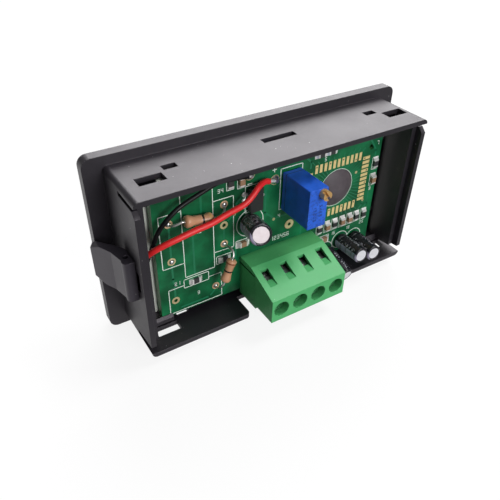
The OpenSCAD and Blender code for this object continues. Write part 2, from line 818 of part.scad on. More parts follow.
// Small moulded regulator with three formed leads
module regulator() {
    lead_t = 0.3;
    color([0.1, 0.1, 0.11]) {
        rearward(board, 1.5) translate([regulator_x, regulator_z])
            square([regulator_w, regulator_l], center = true);
        for (z = [-1.5, 0, 1.5]) rearward(board, lead_t)
            translate([regulator_x + regulator_w / 2 - over, regulator_z + z - 0.25])
                square([over + 1.1, 0.5]);
        rearward(board, lead_t) translate([regulator_x - regulator_w / 2 - 0.8, regulator_z - 1.2])
            square([over + 0.8, 2.4]);
    }
}

// Chips: centre from the board's right end, then turn of the long side from X in degrees
resistor_chips = [[51.05, -8.8, 0], [43.65, -5.65, 0], [42.05, 13.2, 90], [16.75, -7.4, 90],
    [11.95, -7.4, 90], [4.85, -7.4, 90], [2.45, -7.4, 90], [1.25, 6.9, 90], [18.55, 13.7, 0],
    [15.55, 13.7, 0]];
capacitor_chips = [[39.45, 12.9, 90], [38.95, -3.2, 0], [14.35, -7.4, 90], [9.55, -7.4, 90],
    [7.15, -7.4, 90], [1.25, 2.4, 90], [14.95, -10.9, 0]];
chip_l = 2;
chip_w = 1.25;
chip_t = 0.6;
chip_end = 0.35;

// Places children at each chip's centre, along its own directions
module at_chips(chips) {
    for (c = chips) translate([board_right + c.x, c.y]) rotate(c.z) children();
}

module chip_resistors() {
    color([0.12, 0.12, 0.13]) rearward(board, chip_t)
        at_chips(resistor_chips) square([chip_l - 2 * chip_end, chip_w], center = true);
}

module chip_capacitors() {
    color([0.55, 0.4, 0.28]) rearward(board, chip_t * 1.4)
        at_chips(capacitor_chips) square([chip_l - 2 * chip_end, chip_w], center = true);
}

// Tinned ends of all the chips
module chip_ends() {
    color([0.82, 0.82, 0.84]) {
        rearward(board, chip_t) at_chips(resistor_chips) for (end = [-1, 1])
            translate([end * (chip_l - chip_end) / 2, 0]) square([chip_end, chip_w], center = true);
        rearward(board, chip_t * 1.4) at_chips(capacitor_chips) for (end = [-1, 1])
            translate([end * (chip_l - chip_end) / 2, 0]) square([chip_end, chip_w], center = true);
    }
}

// ---- Backlight leads ----

wire_lift = 1.3;                             // height of the leads' ends over the board
wire_end_x = backlight_w / 2 - 0.7;          // place of the leads' ends on the backlight
// Bends of the leads: part of the way from pad to end, height above the board, and Z
red_bends = [[0, wire_lift, plus_pad.y], [0.006, 2.3, 11.2], [0.083, 3, 12.3], [0.173, 3, 12.2],
    [0.301, 3, 10.6], [0.455, 3.6, 9.5], [0.590, 3.8, 8.7], [0.712, 4, 7.7], [0.814, 3.6, 6.8],
    [0.894, 3, 6.2], [0.952, 2.5, 6], [0.987, 1.9, 6], [1, 0.6, 6.1], [1, -1.2, 6.1]];
black_bends = [[0, wire_lift, minus_pad.y], [0.016, 2.3, 14], [0.121, 3, 14.9], [0.23, 3, 15],
    [0.339, 3, 15], [0.444, 3, 14.9], [0.536, 3, 14.5], [0.633, 3, 13.9], [0.726, 3, 12.7],
    [0.827, 2.2, 10.8], [0.891, 1, 8.4], [0.931, 0.8, 6.2], [0.972, 0.3, 4.4], [0.996, -0.9, 3.4],
    [1, -1.7, 3.2]];
function route(pad, bends) = concat(
    [for (b = bends) [pad.x + b[0] * (wire_end_x - pad.x), board + b[1], b[2]]],
    [[wire_end_x, backlight_rear, bends[len(bends) - 1][2]]]);

// Tube of radius r swept along a route, with flat ends
function unit(v) = v / norm(v);
function along(p, i) = unit(p[min(i + 1, len(p) - 1)] - p[max(i - 1, 0)]);
function ring(p, i, r, sides) = let (t = along(p, i), u = unit(cross(t, [0.13, 0.21, 1])), w = cross(t, u))
    [for (k = [0:sides - 1]) p[i] + r * (cos(360 * k / sides) * u + sin(360 * k / sides) * w)];

module tube(p, r, sides = 8) {
    n = len(p);
    points = [for (i = [0:n - 1]) each ring(p, i, r, sides)];
    skin = [for (i = [0:n - 2], k = [0:sides - 1]) each let (a = i * sides + k,
        b = i * sides + (k + 1) % sides) [[a, b, a + sides], [b, b + sides, a + sides]]];
    first = [for (k = [0:sides - 1]) sides - 1 - k];
    last = [for (k = [0:sides - 1]) (n - 1) * sides + k];
    polyhedron(points, concat(skin, [first, last]));
}

module wire_red() {
    color([0.8, 0.06, 0.08]) tube(route(plus_pad, red_bends), wire_r);
}

module wire_black() {
    color([0.05, 0.05, 0.06]) tube(route(minus_pad, black_bends), wire_r);
}

// Solder on the two wire pads, up to the wires' ends
module solder_joints() {
    color([0.78, 0.78, 0.8]) for (p = [plus_pad, minus_pad])
        translate([p.x, board + pad_t, p.y]) rotate([-90, 0, 0])
            cylinder(h = wire_lift - pad_t - 0.3, r1 = 1.1, r2 = 0.35, $fn = 24);
}

// ---- Mounting clips ----

tongue_l = 2.7;                              // length of a clip's guide tongue
clip_forward = 1.3;                          // travel of a clip towards the bezel
clip_back = 3;                               // travel of a clip towards the rear
tongue_rear_y = clip_rear - 1.9;
channel_rear = tongue_rear_y + clip_back + fit;
channel_front = tongue_rear_y - tongue_l - clip_forward - fit;

// Clip with a springy leaf that presses on the panel's rear face
module clip() {
    face = body_w / 2 + fit;
    outer = face + clip_t;
    front = clip_rear - clip_d;
    tip = body_w / 2 + leaf_reach;
    bend = clip_t / 2;
    bevel = leaf_t * [0.78, 0.61];
    corner = 1.2;
    difference() {
        intersection() {
            upward(-clip_h / 2, clip_h) {
                polygon([[face, front], [face, clip_rear], [outer - bend, clip_rear],
                    [outer - 0.3, clip_rear - bend], [outer + 0.6, front - 0.4],
                    [tip, leaf_stand + bevel.y], [tip - bevel.x, leaf_stand], [face + 0.6, front - 1.2]]);
                translate([outer - bend, clip_rear - bend]) circle(bend);
            }
            rearward(leaf_stand - over, clip_rear) polygon([[face - over, -clip_h / 2],
                [tip - corner, -clip_h / 2], [tip, -clip_h / 2 + corner], [tip, clip_h / 2 - corner],
                [tip - corner, clip_h / 2], [face - over, clip_h / 2]]);
        }
        translate([face + 0.9, clip_rear - 2.4, -clip_h / 2 - over]) cylinder(h = clip_h + 2 * over, r = 0.6);
    }
    guide_tongue(face);
}

// Dovetail tongue that runs in the wall's channel
module guide_tongue(face) {
    flare = 0.4;
    root = channel_h / 2 - fit;
    deep = body_w / 2 - channel_d + fit;
    rearward(tongue_rear_y - tongue_l, tongue_l) polygon([[face + over, -root], [face, -root],
        [body_w / 2, -root], [deep, -root - flare], [deep, root + flare], [body_w / 2, root],
        [face, root], [face + over, root]]);
}

module mounting_clip_left() {
    color([0.12, 0.12, 0.14]) clip();
}

module mounting_clip_right() {
    color([0.12, 0.12, 0.14]) mirror([1, 0, 0]) clip();
}

case();
front_window();
lcd_glass();
zebra_strip_upper();
zebra_strip_lower();
backlight_panel();
pcb();
gold_pads();
solder_pads();
chip_cover();
trimmer_body();
trimmer_pins();
trimmer_screw();
terminal_housing();
terminal_contacts();
clamp_spring_1();
clamp_spring_2();
clamp_spring_3();
clamp_spring_4();
capacitor_large();
capacitor_small_1();
capacitor_small_2();
capacitor_small_3();
capacitor_leads();
resistor_upper();
resistor_lower();
regulator();
chip_resistors();
chip_capacitors();
chip_ends();
solder_joints();
wire_red();
wire_black();
mounting_clip_left();
mounting_clip_right();
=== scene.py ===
"""Looks of a digital panel meter with an open rear: finishes, fine parts, light, floor and camera."""

import math

import bmesh
import bpy
from mathutils import Matrix, Vector


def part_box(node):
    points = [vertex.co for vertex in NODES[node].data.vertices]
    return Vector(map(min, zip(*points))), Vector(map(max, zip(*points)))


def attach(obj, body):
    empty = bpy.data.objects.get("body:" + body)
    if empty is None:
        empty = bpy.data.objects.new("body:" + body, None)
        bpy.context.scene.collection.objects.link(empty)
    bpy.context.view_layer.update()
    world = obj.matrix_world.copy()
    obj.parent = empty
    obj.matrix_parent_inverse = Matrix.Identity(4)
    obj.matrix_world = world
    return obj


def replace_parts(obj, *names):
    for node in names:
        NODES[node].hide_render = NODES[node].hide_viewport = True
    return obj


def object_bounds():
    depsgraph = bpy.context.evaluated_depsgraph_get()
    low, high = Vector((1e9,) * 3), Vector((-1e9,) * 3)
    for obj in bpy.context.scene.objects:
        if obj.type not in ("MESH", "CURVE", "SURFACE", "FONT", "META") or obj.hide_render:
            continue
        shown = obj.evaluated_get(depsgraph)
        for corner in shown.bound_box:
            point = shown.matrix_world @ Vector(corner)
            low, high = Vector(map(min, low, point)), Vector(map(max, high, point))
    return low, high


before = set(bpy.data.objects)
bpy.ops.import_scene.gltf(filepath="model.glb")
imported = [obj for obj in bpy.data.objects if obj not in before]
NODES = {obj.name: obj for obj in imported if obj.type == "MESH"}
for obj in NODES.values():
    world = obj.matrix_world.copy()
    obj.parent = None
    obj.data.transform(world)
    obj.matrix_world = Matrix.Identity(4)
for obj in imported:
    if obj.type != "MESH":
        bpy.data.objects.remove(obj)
cad_low, cad_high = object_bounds()
MM = 0.001                                   # the frame is in metres, the sizes below in millimetres


# ---- Places that finishes and fine parts share ----

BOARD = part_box("pcb")[1].y / MM              # the board's component side
REGULATOR_X = 6.5
CAN_GAP = 0.3                                # between a capacitor's rim and the board
MARK_SIDE = Vector((0.95, 0.0, -0.3))        # where the capacitors' stripes face


class Can:
    """An electrolytic capacitor: its axis from its foot and lean, its size, and its stripe's side."""

    def __init__(self, foot, lean, radius, length):
        self.radius = radius
        self.length = length
        self.axis = Vector((lean[0], 1.0, lean[1])).normalized()
        rise = radius * math.sqrt(1.0 - self.axis.y ** 2) + CAN_GAP
        self.base = Vector((foot[0] + lean[0] * rise, BOARD + rise, foot[1] + lean[1] * rise))
        self.mark = self.axis.cross(MARK_SIDE).cross(self.axis).normalized()
        self.side = self.axis.cross(self.mark)


CANS = {
    "capacitor_large": Can((7.6, 1.9), (0.28, 0.31), 2.5, 8.0),
    "capacitor_small_1": Can((-20.4, -13.2), (0.05, 0.08), 2.0, 8.5),
    "capacitor_small_2": Can((-25.0, -13.9), (0.08, 0.05), 2.0, 8.5),
    "capacitor_small_3": Can((-15.6, -14.6), (-0.02, -0.28), 2.0, 8.5),
}


def body_end(holes, part, height, offset):
    """End of a resistor's body: part of the way between its holes, offset along the board."""
    flat = Vector(holes[0]).lerp(Vector(holes[1]), part) + Vector(offset)
    return Vector((flat.x, BOARD + height, flat.y))


# The resistors' holes in the board, x and z
UPPER_HOLES = ((26.6, 7.9), (13.8, 8.5))
LOWER_HOLES = ((13.9, -1.6), (16.3, -12.7))
RESISTORS = {
    "resistor_upper": (body_end(UPPER_HOLES, 0.21, 1.8, (0, 0.6)),
                       body_end(UPPER_HOLES, 0.7, 1.8, (0, -0.9))),
    "resistor_lower": (body_end(LOWER_HOLES, 0.19, 3.4, (-0.5, 0)),
                       body_end(LOWER_HOLES, 0.68, 3.4, (0.3, 0))),
}


# ---- Shader maths ----

class Socket:
    """A shader value or vector that expressions can be written with."""

    def __init__(self, finish, out):
        self.finish = finish
        self.out = out

    def _math(self, operation, *values):
        return self.finish.node("Math", {"operation": operation}, dict(enumerate(values)))

    def __add__(self, other):
        return self._math("ADD", self, other)

    def __radd__(self, other):
        return self._math("ADD", other, self)

    def __sub__(self, other):
        return self._math("SUBTRACT", self, other)

    def __rsub__(self, other):
        return self._math("SUBTRACT", other, self)

    def __mul__(self, other):
        return self._math("MULTIPLY", self, other)

    def __rmul__(self, other):
        return self._math("MULTIPLY", other, self)

    def __truediv__(self, other):
        return self._math("DIVIDE", self, other)

    def __gt__(self, other):
        return self._math("GREATER_THAN", self, other)

    def __lt__(self, other):
        return self._math("LESS_THAN", self, other)

    def __abs__(self):
        return self._math("ABSOLUTE", self)

    def most(self, other):
        return self._math("MAXIMUM", self, other)

    def modulo(self, other):
        return self._math("FLOORED_MODULO", self, other)

    def ease(self, low, high):
        """0 below low, 1 above high, smooth between them."""
        return self.finish.node("MapRange", {"interpolation_type": "SMOOTHSTEP"},
                                {"Value": self, "From Min": low, "From Max": high})


class Finish:
    """One procedural material on a Principled shader."""

    def __init__(self, name, **sockets):
        self.material = bpy.data.materials.new(name)
        self.material.use_nodes = True
        self.tree = self.material.node_tree
        self.shader = self.tree.nodes["Principled BSDF"]
        self.set(**sockets)

    def node(self, kind, settings=None, sockets=None, out=0):
        """A node of this kind: its settings first, then the values or links of its sockets."""
        made = self.tree.nodes.new("ShaderNode" + kind)
        for name, value in (settings or {}).items():
            setattr(made, name, value)
        for key, value in (sockets or {}).items():
            self.feed(made.inputs[key], value)
        return Socket(self, made.outputs[out])

    def feed(self, target, value):
        """Links a socket, or sets it to a constant."""
        if isinstance(value, Socket):
            self.tree.links.new(value.out, target)
        elif target.type == "RGBA":
            target.default_value = rgba(value)
        else:
            target.default_value = value

    def set(self, **sockets):
        """Sets the shader's own sockets; an underscore stands for a space."""
        for name, value in sockets.items():
            self.feed(self.shader.inputs[name.replace("_", " ")], value)
        return self

    def vector_math(self, operation, sockets, out=0):
        return self.node("VectorMath", {"operation": operation}, sockets, out)

    def place(self):
        """Object coordinates in millimetres."""
        return self.vector_math("SCALE", {0: self.node("TexCoord", out="Object"), "Scale": 1 / MM})

    def stretched(self, scales):
        """The place with each axis scaled, for marks that run along one axis."""
        return self.vector_math("MULTIPLY", {0: self.place(), 1: scales})

    def axes(self):
        place = self.place()
        return tuple(self.node("SeparateXYZ", {}, {0: place}, out=i) for i in range(3))

    def minus(self, vector, point):
        return self.vector_math("SUBTRACT", {0: vector, 1: point})

    def dot(self, vector, direction):
        return self.vector_math("DOT_PRODUCT", {0: vector, 1: tuple(direction)}, out="Value")

    def length(self, vector):
        return self.vector_math("LENGTH", {0: vector}, out="Value")

    def along_and_off(self, start, axis):
        """Distances along an axis from its start and across from it, in millimetres."""
        from_start = self.minus(self.place(), tuple(start))
        along = self.dot(from_start, axis)
        foot = self.vector_math("SCALE", {0: tuple(axis), "Scale": along})
        return along, self.length(self.minus(from_start, foot))

    def noise(self, size, detail=3.0, place=None):
        """Noise whose features are about size millimetres across."""
        sockets = {"Vector": place or self.place(), "Scale": 1 / size, "Detail": detail, "Roughness": 0.55}
        return self.node("TexNoise", {}, sockets, out="Fac")

    def specks(self, size, share, dot):
        """Dots in a share of the cells, size millimetres wide; dot is their radius as a part of a cell."""
        cells = {"Vector": self.place(), "Scale": 1 / size}
        near = self.node("TexVoronoi", {}, cells, out="Distance")
        pick = self.node("TexVoronoi", {}, cells, out="Color")
        level = self.node("SeparateColor", {}, {0: pick})
        return (near < dot) * (level < share)

    def openness(self, reach):
        """Ambient occlusion: 1 on free faces, less inside holes and corners; reach in millimetres. It feeds
        painted shade into colours.
        """
        return self.node("AmbientOcclusion", {"samples": 8}, {"Distance": reach * MM}, out="AO")

    def mix(self, factor, a, b):
        """Colour a where factor is 0, colour b where it is 1."""
        return self.node("Mix", {"data_type": "RGBA"}, {0: factor, 6: a, 7: b}, out=2)

    def tilt(self, height, strength, distance, normal=None):
        """Bump from a height, distance in millimetres."""
        sockets = {"Height": height, "Strength": strength, "Distance": distance * MM}
        if normal is not None:
            sockets["Normal"] = normal
        return self.node("Bump", {}, sockets, out="Normal")

    def soft_edges(self, radius):
        """Normals rounded over the edges of a moulding, radius in millimetres."""
        return self.node("Bevel", {"samples": 4}, {"Radius": radius * MM}, out="Normal")


def rgba(colour):
    return (*colour, 1.0)


def grey(level):
    return (level, level, level)


# ---- Finishes ----

def black_moulding(name, level, dust, shine):
    """Black plastic with a faint spark texture, rubbed patches, hairlines and dust."""
    f = Finish(name, IOR=1.5, Specular_IOR_Level=shine, Specular_Tint=(1.0, 0.93, 1.0))
    grain = f.noise(0.12, 2.0)
    rubbed = f.noise(9.0, 4.0)
    fine = f.noise(1.1)
    hairline = f.noise(1.0, 4.0, place=f.stretched((0.05, 0.9, 0.9))).ease(0.66, 0.74)
    motes = f.specks(1.1, dust, 0.07) * f.noise(7.0).ease(0.4, 0.6)
    lint = f.specks(2.7, dust, 0.04)
    clean = (level * 1.05, level * 0.95, level * 1.3)
    worn = (level * 1.7, level * 1.5, level * 2.0)
    base = f.mix(hairline * 0.12, f.mix(rubbed * 0.6, clean, worn), (0.16, 0.15, 0.17))
    return f.set(Base_Color=f.mix(motes.most(lint) * 0.7, base, grey(0.55)),
                 Roughness=0.42 + 0.14 * rubbed - 0.06 * fine + 0.3 * motes,
                 Normal=f.tilt(grain + 0.8 * fine - 0.5 * hairline, 0.18, 0.05, f.soft_edges(0.16)))


def solder_mask():
    """Green board: clouded lacquer over a faint weave, with bare laminate on its cut edges."""
    f = Finish("green_lacquer_board", IOR=1.5, Specular_IOR_Level=0.3)
    x, y, z = f.axes()
    low, high = (corner.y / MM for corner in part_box("pcb"))
    skin_t = 0.06
    threads = 9.0                            # threads and gaps to a millimetre
    face = (y > high - skin_t).most(y < low + skin_t)
    cloud = f.noise(6.0, 4.0)
    weave = ((x * threads).modulo(2.0) < 1.0) * 0.5 + ((z * threads).modulo(2.0) < 1.0) * 0.5
    lacquer = f.mix(cloud.ease(0.25, 0.75), (0.0, 0.05, 0.016), (0.006, 0.17, 0.06))
    lacquer = f.mix(weave * 0.06, lacquer, (0.02, 0.22, 0.09))
    laminate = f.mix(f.noise(0.3), (0.02, 0.12, 0.04), (0.07, 0.2, 0.07))
    return f.set(Base_Color=f.mix(face, laminate, lacquer), Roughness=0.36 + 0.14 * cloud,
                 Normal=f.tilt(weave + 1.5 * cloud, 0.1, 0.03))


def printed(name, colour, rough=0.5):
    """Screen-printed ink or lacquered copper with slightly ragged cover."""
    f = Finish(name)
    worn = f.noise(0.25)
    thin = tuple(part * 0.55 for part in colour)
    return f.set(Base_Color=f.mix(worn.ease(0.5, 0.8) * 0.5, colour, thin), Roughness=rough,
                 Normal=f.tilt(worn, 0.1, 0.02))


def bare_metal(name, colour, rough, stain=(0.3, 0.28, 0.25), stained=0.4, metal=1.0):
    """Plated or tinned metal with fine scratches and dull patches; metal below 1 for an oxide skin."""
    f = Finish(name, Metallic=metal)
    dull = f.noise(0.9, 4.0)
    scratch = f.noise(0.06, 2.0)
    return f.set(Base_Color=f.mix(dull.ease(0.5, 0.75) * stained, colour, stain),
                 Roughness=rough + 0.25 * dull - 0.08 * scratch, Normal=f.tilt(scratch + dull, 0.2, 0.03))


def resin():
    """Poured dark resin, clouded and slightly uneven."""
    f = Finish("potting_resin", IOR=1.5, Specular_IOR_Level=0.4)
    flow = f.noise(2.2, 4.0)
    grain = f.noise(0.25)
    return f.set(Base_Color=f.mix(flow, (0.045, 0.036, 0.042), (0.115, 0.095, 0.108)),
                 Roughness=0.5 + 0.16 * flow, Normal=f.tilt(flow + 0.6 * grain, 0.3, 0.12))


def clear_sheet():
    """Clear acrylic with a few hairlines."""
    f = Finish("clear_acrylic", Transmission_Weight=1.0, IOR=1.49)
    hairline = f.noise(0.8, place=f.stretched((0.1, 1.0, 1.0))).ease(0.68, 0.74)
    return f.set(Base_Color=f.mix(f.noise(6.0), (0.96, 0.98, 0.98), (0.99, 1.0, 1.0)),
                 Roughness=0.05 * hairline, Normal=f.tilt(hairline, 0.1, 0.01))


# The display's digits
DIGIT_PITCH = 11.0
DIGIT_W = 5.6
DIGIT_H = 13.2
DIGIT_SLANT = 0.1
BAR_T = 1.05
BAR_GAP = 0.3                                # from an upright bar's end to the corner
POINT_HALF = 0.65                            # half of a decimal point's side


def display_cell():
    """Grey-green display whose idle segments, three digits and a leading one, are just visible."""
    f = Finish("display_cell", IOR=1.52)
    x, y, z = f.axes()
    slant = x - DIGIT_SLANT * z
    cell = (slant + 2 * DIGIT_PITCH).modulo(DIGIT_PITCH) - DIGIT_PITCH / 2
    across = abs(cell)
    height = abs(z)
    upright = (abs(across - DIGIT_W / 2) < BAR_T / 2) * (abs(height - DIGIT_H / 4) < DIGIT_H / 4 - BAR_GAP)
    middle_or_end = (height < BAR_T / 2).most(abs(height - DIGIT_H / 2) < BAR_T / 2)
    level = (across < DIGIT_W / 2 - 0.4) * middle_or_end
    leading = slant < -DIGIT_PITCH
    whole = upright.most(level) * (1.0 - leading)
    one = upright * leading * (cell > 0)
    point_foot = abs(z + DIGIT_H / 2 - 0.1) < POINT_HALF
    point = (abs(across - DIGIT_PITCH / 2) < POINT_HALF) * point_foot
    in_window = (abs(slant) < 2 * DIGIT_PITCH - 1.0) * (y < 0.05)
    shown = whole.most(one).most(point) * in_window
    cloud = f.noise(9.0)
    base = f.mix(cloud, (0.2, 0.24, 0.17), (0.27, 0.31, 0.22))
    return f.set(Base_Color=f.mix(shown * 0.4, base, (0.05, 0.06, 0.05)), Roughness=0.2 + 0.1 * cloud)


def sleeve(name, can):
    """Shiny black shrink sleeve with a pale stripe and worn small marks in rows."""
    f = Finish(name, IOR=1.5, Specular_IOR_Level=0.36)
    ripple = f.noise(1.4)
    from_base = f.minus(f.place(), tuple(can.base))
    along = f.dot(from_base, can.axis)
    across = f.dot(from_base, can.side)
    stripe = f.dot(from_base, can.mark) > 0.72 * can.radius
    dash = (along.modulo(2.2) > 0.5) * (along < can.length - 0.7)
    row = (across / 0.62).modulo(1.0) < 0.6
    marks = (f.noise(0.42, 1.0) > 0.56) * row * (abs(along - can.length * 0.55) < can.length * 0.33)
    beside = abs(across) > 0.25 * can.radius
    base = f.mix(ripple, (0.004, 0.004, 0.007), (0.014, 0.013, 0.02))
    base = f.mix(marks * beside * 0.7, base, (0.5, 0.5, 0.56))
    base = f.mix(stripe * (0.55 + 0.45 * dash), base, (0.4, 0.36, 0.5))
    return f.set(Base_Color=base, Roughness=0.2 + 0.16 * ripple, Normal=f.tilt(ripple, 0.3, 0.08))


def can_metal(name, low, high):
    """Pressed aluminium, slightly clouded."""
    f = Finish(name, Metallic=0.45)
    cloud = f.noise(1.2)
    brushed = f.noise(0.1, 2.0)
    return f.set(Base_Color=f.mix(cloud, low, high), Roughness=0.42 + 0.14 * brushed,
                 Normal=f.tilt(cloud + 0.1 * brushed, 0.3, 0.05))


def banded_resistor(name, start, end, bands):
    """Tan lacquered body with colour bands, and tinned leads."""
    f = Finish(name, IOR=1.5)
    span = end - start
    along, off = f.along_and_off(start, span.normalized())
    middle = span.length / 2
    lead_reach = 0.42
    body = (off > lead_reach) * (abs(along - middle) < middle + 0.08)
    bloom = f.noise(1.5)
    colour = f.mix(bloom, (0.44, 0.21, 0.11), (0.62, 0.34, 0.2))
    for part, width, band in bands:
        colour = f.mix(abs(along - part * span.length) < width / 2, colour, band)
    return f.set(Base_Color=f.mix(body, (0.72, 0.71, 0.69), colour), Metallic=1.0 - body,
                 Roughness=0.3 + 0.14 * bloom, Normal=f.tilt(bloom, 0.2, 0.04))


def regulator_finish():
    """Epoxy body with tinned formed leads."""
    f = Finish("regulator_epoxy", IOR=1.5)
    x, y, z = f.axes()
    body_half = 1.61
    foot_t = 0.31
    lead = (y < BOARD + foot_t) * (abs(x - REGULATOR_X) > body_half)
    grain = f.noise(0.2)
    epoxy = f.mix(grain, (0.01, 0.01, 0.011), (0.024, 0.023, 0.024))
    return f.set(Base_Color=f.mix(lead, epoxy, (0.7, 0.7, 0.69)), Metallic=lead,
                 Roughness=0.36 + 0.16 * grain, Normal=f.tilt(grain, 0.25, 0.03))


def trimmer_finish():
    """Blue case with the seam of its potted base, pale moulding bloom and a stained rear face."""
    f = Finish("blue_trimmer_case", IOR=1.5)
    x, y, z = f.axes()
    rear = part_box("trimmer_body")[1].y / MM
    seam_y = BOARD + 1.5
    seam = abs(y - seam_y) < 0.07
    bloom = f.noise(2.5, 4.0)
    scuff = f.noise(0.35).ease(0.62, 0.75)
    stain = f.noise(0.5, 4.0).ease(0.52, 0.6) * (y > rear - 0.2)
    colour = f.mix(bloom, (0.002, 0.055, 0.38), (0.03, 0.17, 0.88))
    colour = f.mix(scuff * 0.25, colour, (0.12, 0.22, 0.6))
    colour = f.mix(stain * 0.4, colour, (0.02, 0.03, 0.12))
    return f.set(Base_Color=f.mix(seam, colour, (0.001, 0.01, 0.06)), Roughness=0.34 + 0.16 * bloom,
                 Normal=f.tilt(bloom * 2.0 - seam, 0.2, 0.05, f.soft_edges(0.14)))


def spring_steel():
    """Bright strip steel with painted shade: its colour goes dark deep inside its chamber."""
    f = Finish("spring_steel", Metallic=0.85)
    rolled = f.noise(0.12, 2.0)
    # painted shade: the steel's colour goes near black where ambient occlusion finds the chamber closed
    # round it, bright near the slot
    lit = f.openness(2.5).ease(0.28, 0.5)
    return f.set(Base_Color=f.mix(lit, (0.02, 0.022, 0.02), (0.96, 0.96, 0.97)),
                 Roughness=0.34 + 0.1 * rolled, Normal=f.tilt(rolled, 0.2, 0.02))


def terminal_green():
    """Green moulding with painted shade: darker inside its slots and wire entries."""
    f = Finish("green_terminal_case", IOR=1.5, Specular_IOR_Level=0.3)
    bloom = f.noise(3.5, 4.0)
    fine = f.noise(0.25, 2.0)
    colour = f.mix(bloom, (0.07, 0.37, 0.125), (0.095, 0.45, 0.165))
    colour = f.mix(f.specks(0.9, 0.06, 0.09) * 0.5, colour, (0.6, 0.75, 0.6))
    # painted shade: the green goes near black where ambient occlusion finds slots, wire entries and corners
    painted_shade_depth = 1.0 - f.openness(3.0).ease(0.28, 0.72)
    return f.set(Base_Color=f.mix(painted_shade_depth * 0.9, colour, (0.0, 0.022, 0.006)), Roughness=0.36 + 0.12 * bloom,
                 Normal=f.tilt(bloom * 2.0 + fine * 0.5, 0.12, 0.05, f.soft_edges(0.2)))


def insulation(name, dark, light, shine=0.5):
    """Slightly soiled plastic insulation."""
    f = Finish(name, IOR=1.48, Specular_IOR_Level=shine)
    soil = f.noise(1.6)
    return f.set(Base_Color=f.mix(soil, dark, light), Roughness=0.36 + 0.2 * soil,
                 Normal=f.tilt(f.noise(0.35), 0.2, 0.04))


def fired_ceramic(name, dark, light):
    """Grained body of a chip, with softened edges."""
    f = Finish(name, IOR=1.6)
    grain = f.noise(0.2)
    return f.set(Base_Color=f.mix(grain, dark, light), Roughness=0.4 + 0.2 * grain,
                 Normal=f.tilt(grain, 0.3, 0.03, f.soft_edges(0.06)))


def white_panel():
    """Milky light guide behind the display."""
    f = Finish("white_light_guide", IOR=1.5)
    haze = f.noise(4.0)
    return f.set(Base_Color=f.mix(haze, (0.82, 0.84, 0.77), (0.9, 0.92, 0.85)), Roughness=0.45 + 0.1 * haze,
                 Normal=f.tilt(haze, 0.1, 0.1, f.soft_edges(0.1)))


def elastomer():
    """Conductive strip: thin carbon layers between coloured silicone."""
    f = Finish("layered_elastomer")
    x, y, z = f.axes()
    layers = 5.0                             # pairs of layers to a millimetre
    layer = (x * layers).modulo(1.0) < 0.5
    return f.set(Base_Color=f.mix(layer, (0.42, 0.14, 0.1), grey(0.03)), Roughness=0.6 + 0.2 * f.noise(1.0))


DARK_BAND = (0.006, 0.005, 0.005)
GOLD_BAND = (0.5, 0.3, 0.1)
BROWN_BAND = (0.22, 0.07, 0.03)
# Resistor bands: place as a part of the body, width, colour
BANDS = {
    "resistor_upper": ((0.62, 0.45, DARK_BAND), (0.86, 0.4, GOLD_BAND)),
    "resistor_lower": ((0.5, 0.4, DARK_BAND), (0.14, 0.35, BROWN_BAND)),
}

CASE = black_moulding("black_case_moulding", 0.009, 0.3, 0.62)
CLIP = black_moulding("black_clip_moulding", 0.02, 0.1, 0.7)
GOLD = bare_metal("gold_plate", (0.86, 0.6, 0.26), 0.3, (0.35, 0.22, 0.08), 0.5)
TIN = bare_metal("tinned_plate", (0.72, 0.71, 0.69), 0.28)
SOLDER = bare_metal("bright_solder", (0.75, 0.75, 0.76), 0.2)
PAD_TIN = bare_metal("aged_tinned_pads", (0.74, 0.6, 0.34), 0.38, (0.36, 0.25, 0.1), 0.6, metal=0.6)
STEEL = spring_steel()
BRASS = bare_metal("turned_brass", (0.85, 0.52, 0.2), 0.3, (0.3, 0.15, 0.06), 0.5, metal=0.7)
CHIP_SOLDER = bare_metal("chip_solder", (0.86, 0.85, 0.84), 0.26, (0.5, 0.45, 0.42), 0.6, metal=0.55)
PLATING = bare_metal("gold_pad_plating", (0.95, 0.74, 0.34), 0.3, (0.55, 0.38, 0.12), 0.4, metal=0.45)
COPPER = bare_metal("aged_copper_rings", (0.8, 0.54, 0.34), 0.36, (0.42, 0.22, 0.1), 0.6, metal=0.6)
LARGE_CAN_TOP = can_metal("large_can_aluminium", (0.56, 0.48, 0.5), (0.74, 0.68, 0.7))
SMALL_CAN_TOP = can_metal("small_can_aluminium", (0.7, 0.7, 0.74), (0.9, 0.9, 0.94))
GREEN = terminal_green()
CHIP_BLACK = fired_ceramic("black_chip_glaze", (0.012, 0.012, 0.014), (0.03, 0.03, 0.032))
CHIP_BROWN = fired_ceramic("brown_chip_ceramic", (0.2, 0.11, 0.06), (0.34, 0.2, 0.11))
RED = insulation("red_insulation", (0.6, 0.01, 0.014), (0.85, 0.03, 0.03))
BLACK = insulation("black_insulation", (0.002, 0.002, 0.003), (0.008, 0.008, 0.009), 0.25)
BOARD_INK = printed("white_board_ink", (0.8, 0.86, 0.8))
TRIMMER_INK = printed("dark_trimmer_ink", (0.006, 0.02, 0.12))
TRACK = printed("lacquered_copper", (0.008, 0.16, 0.07), 0.34)
ELASTOMER = elastomer()

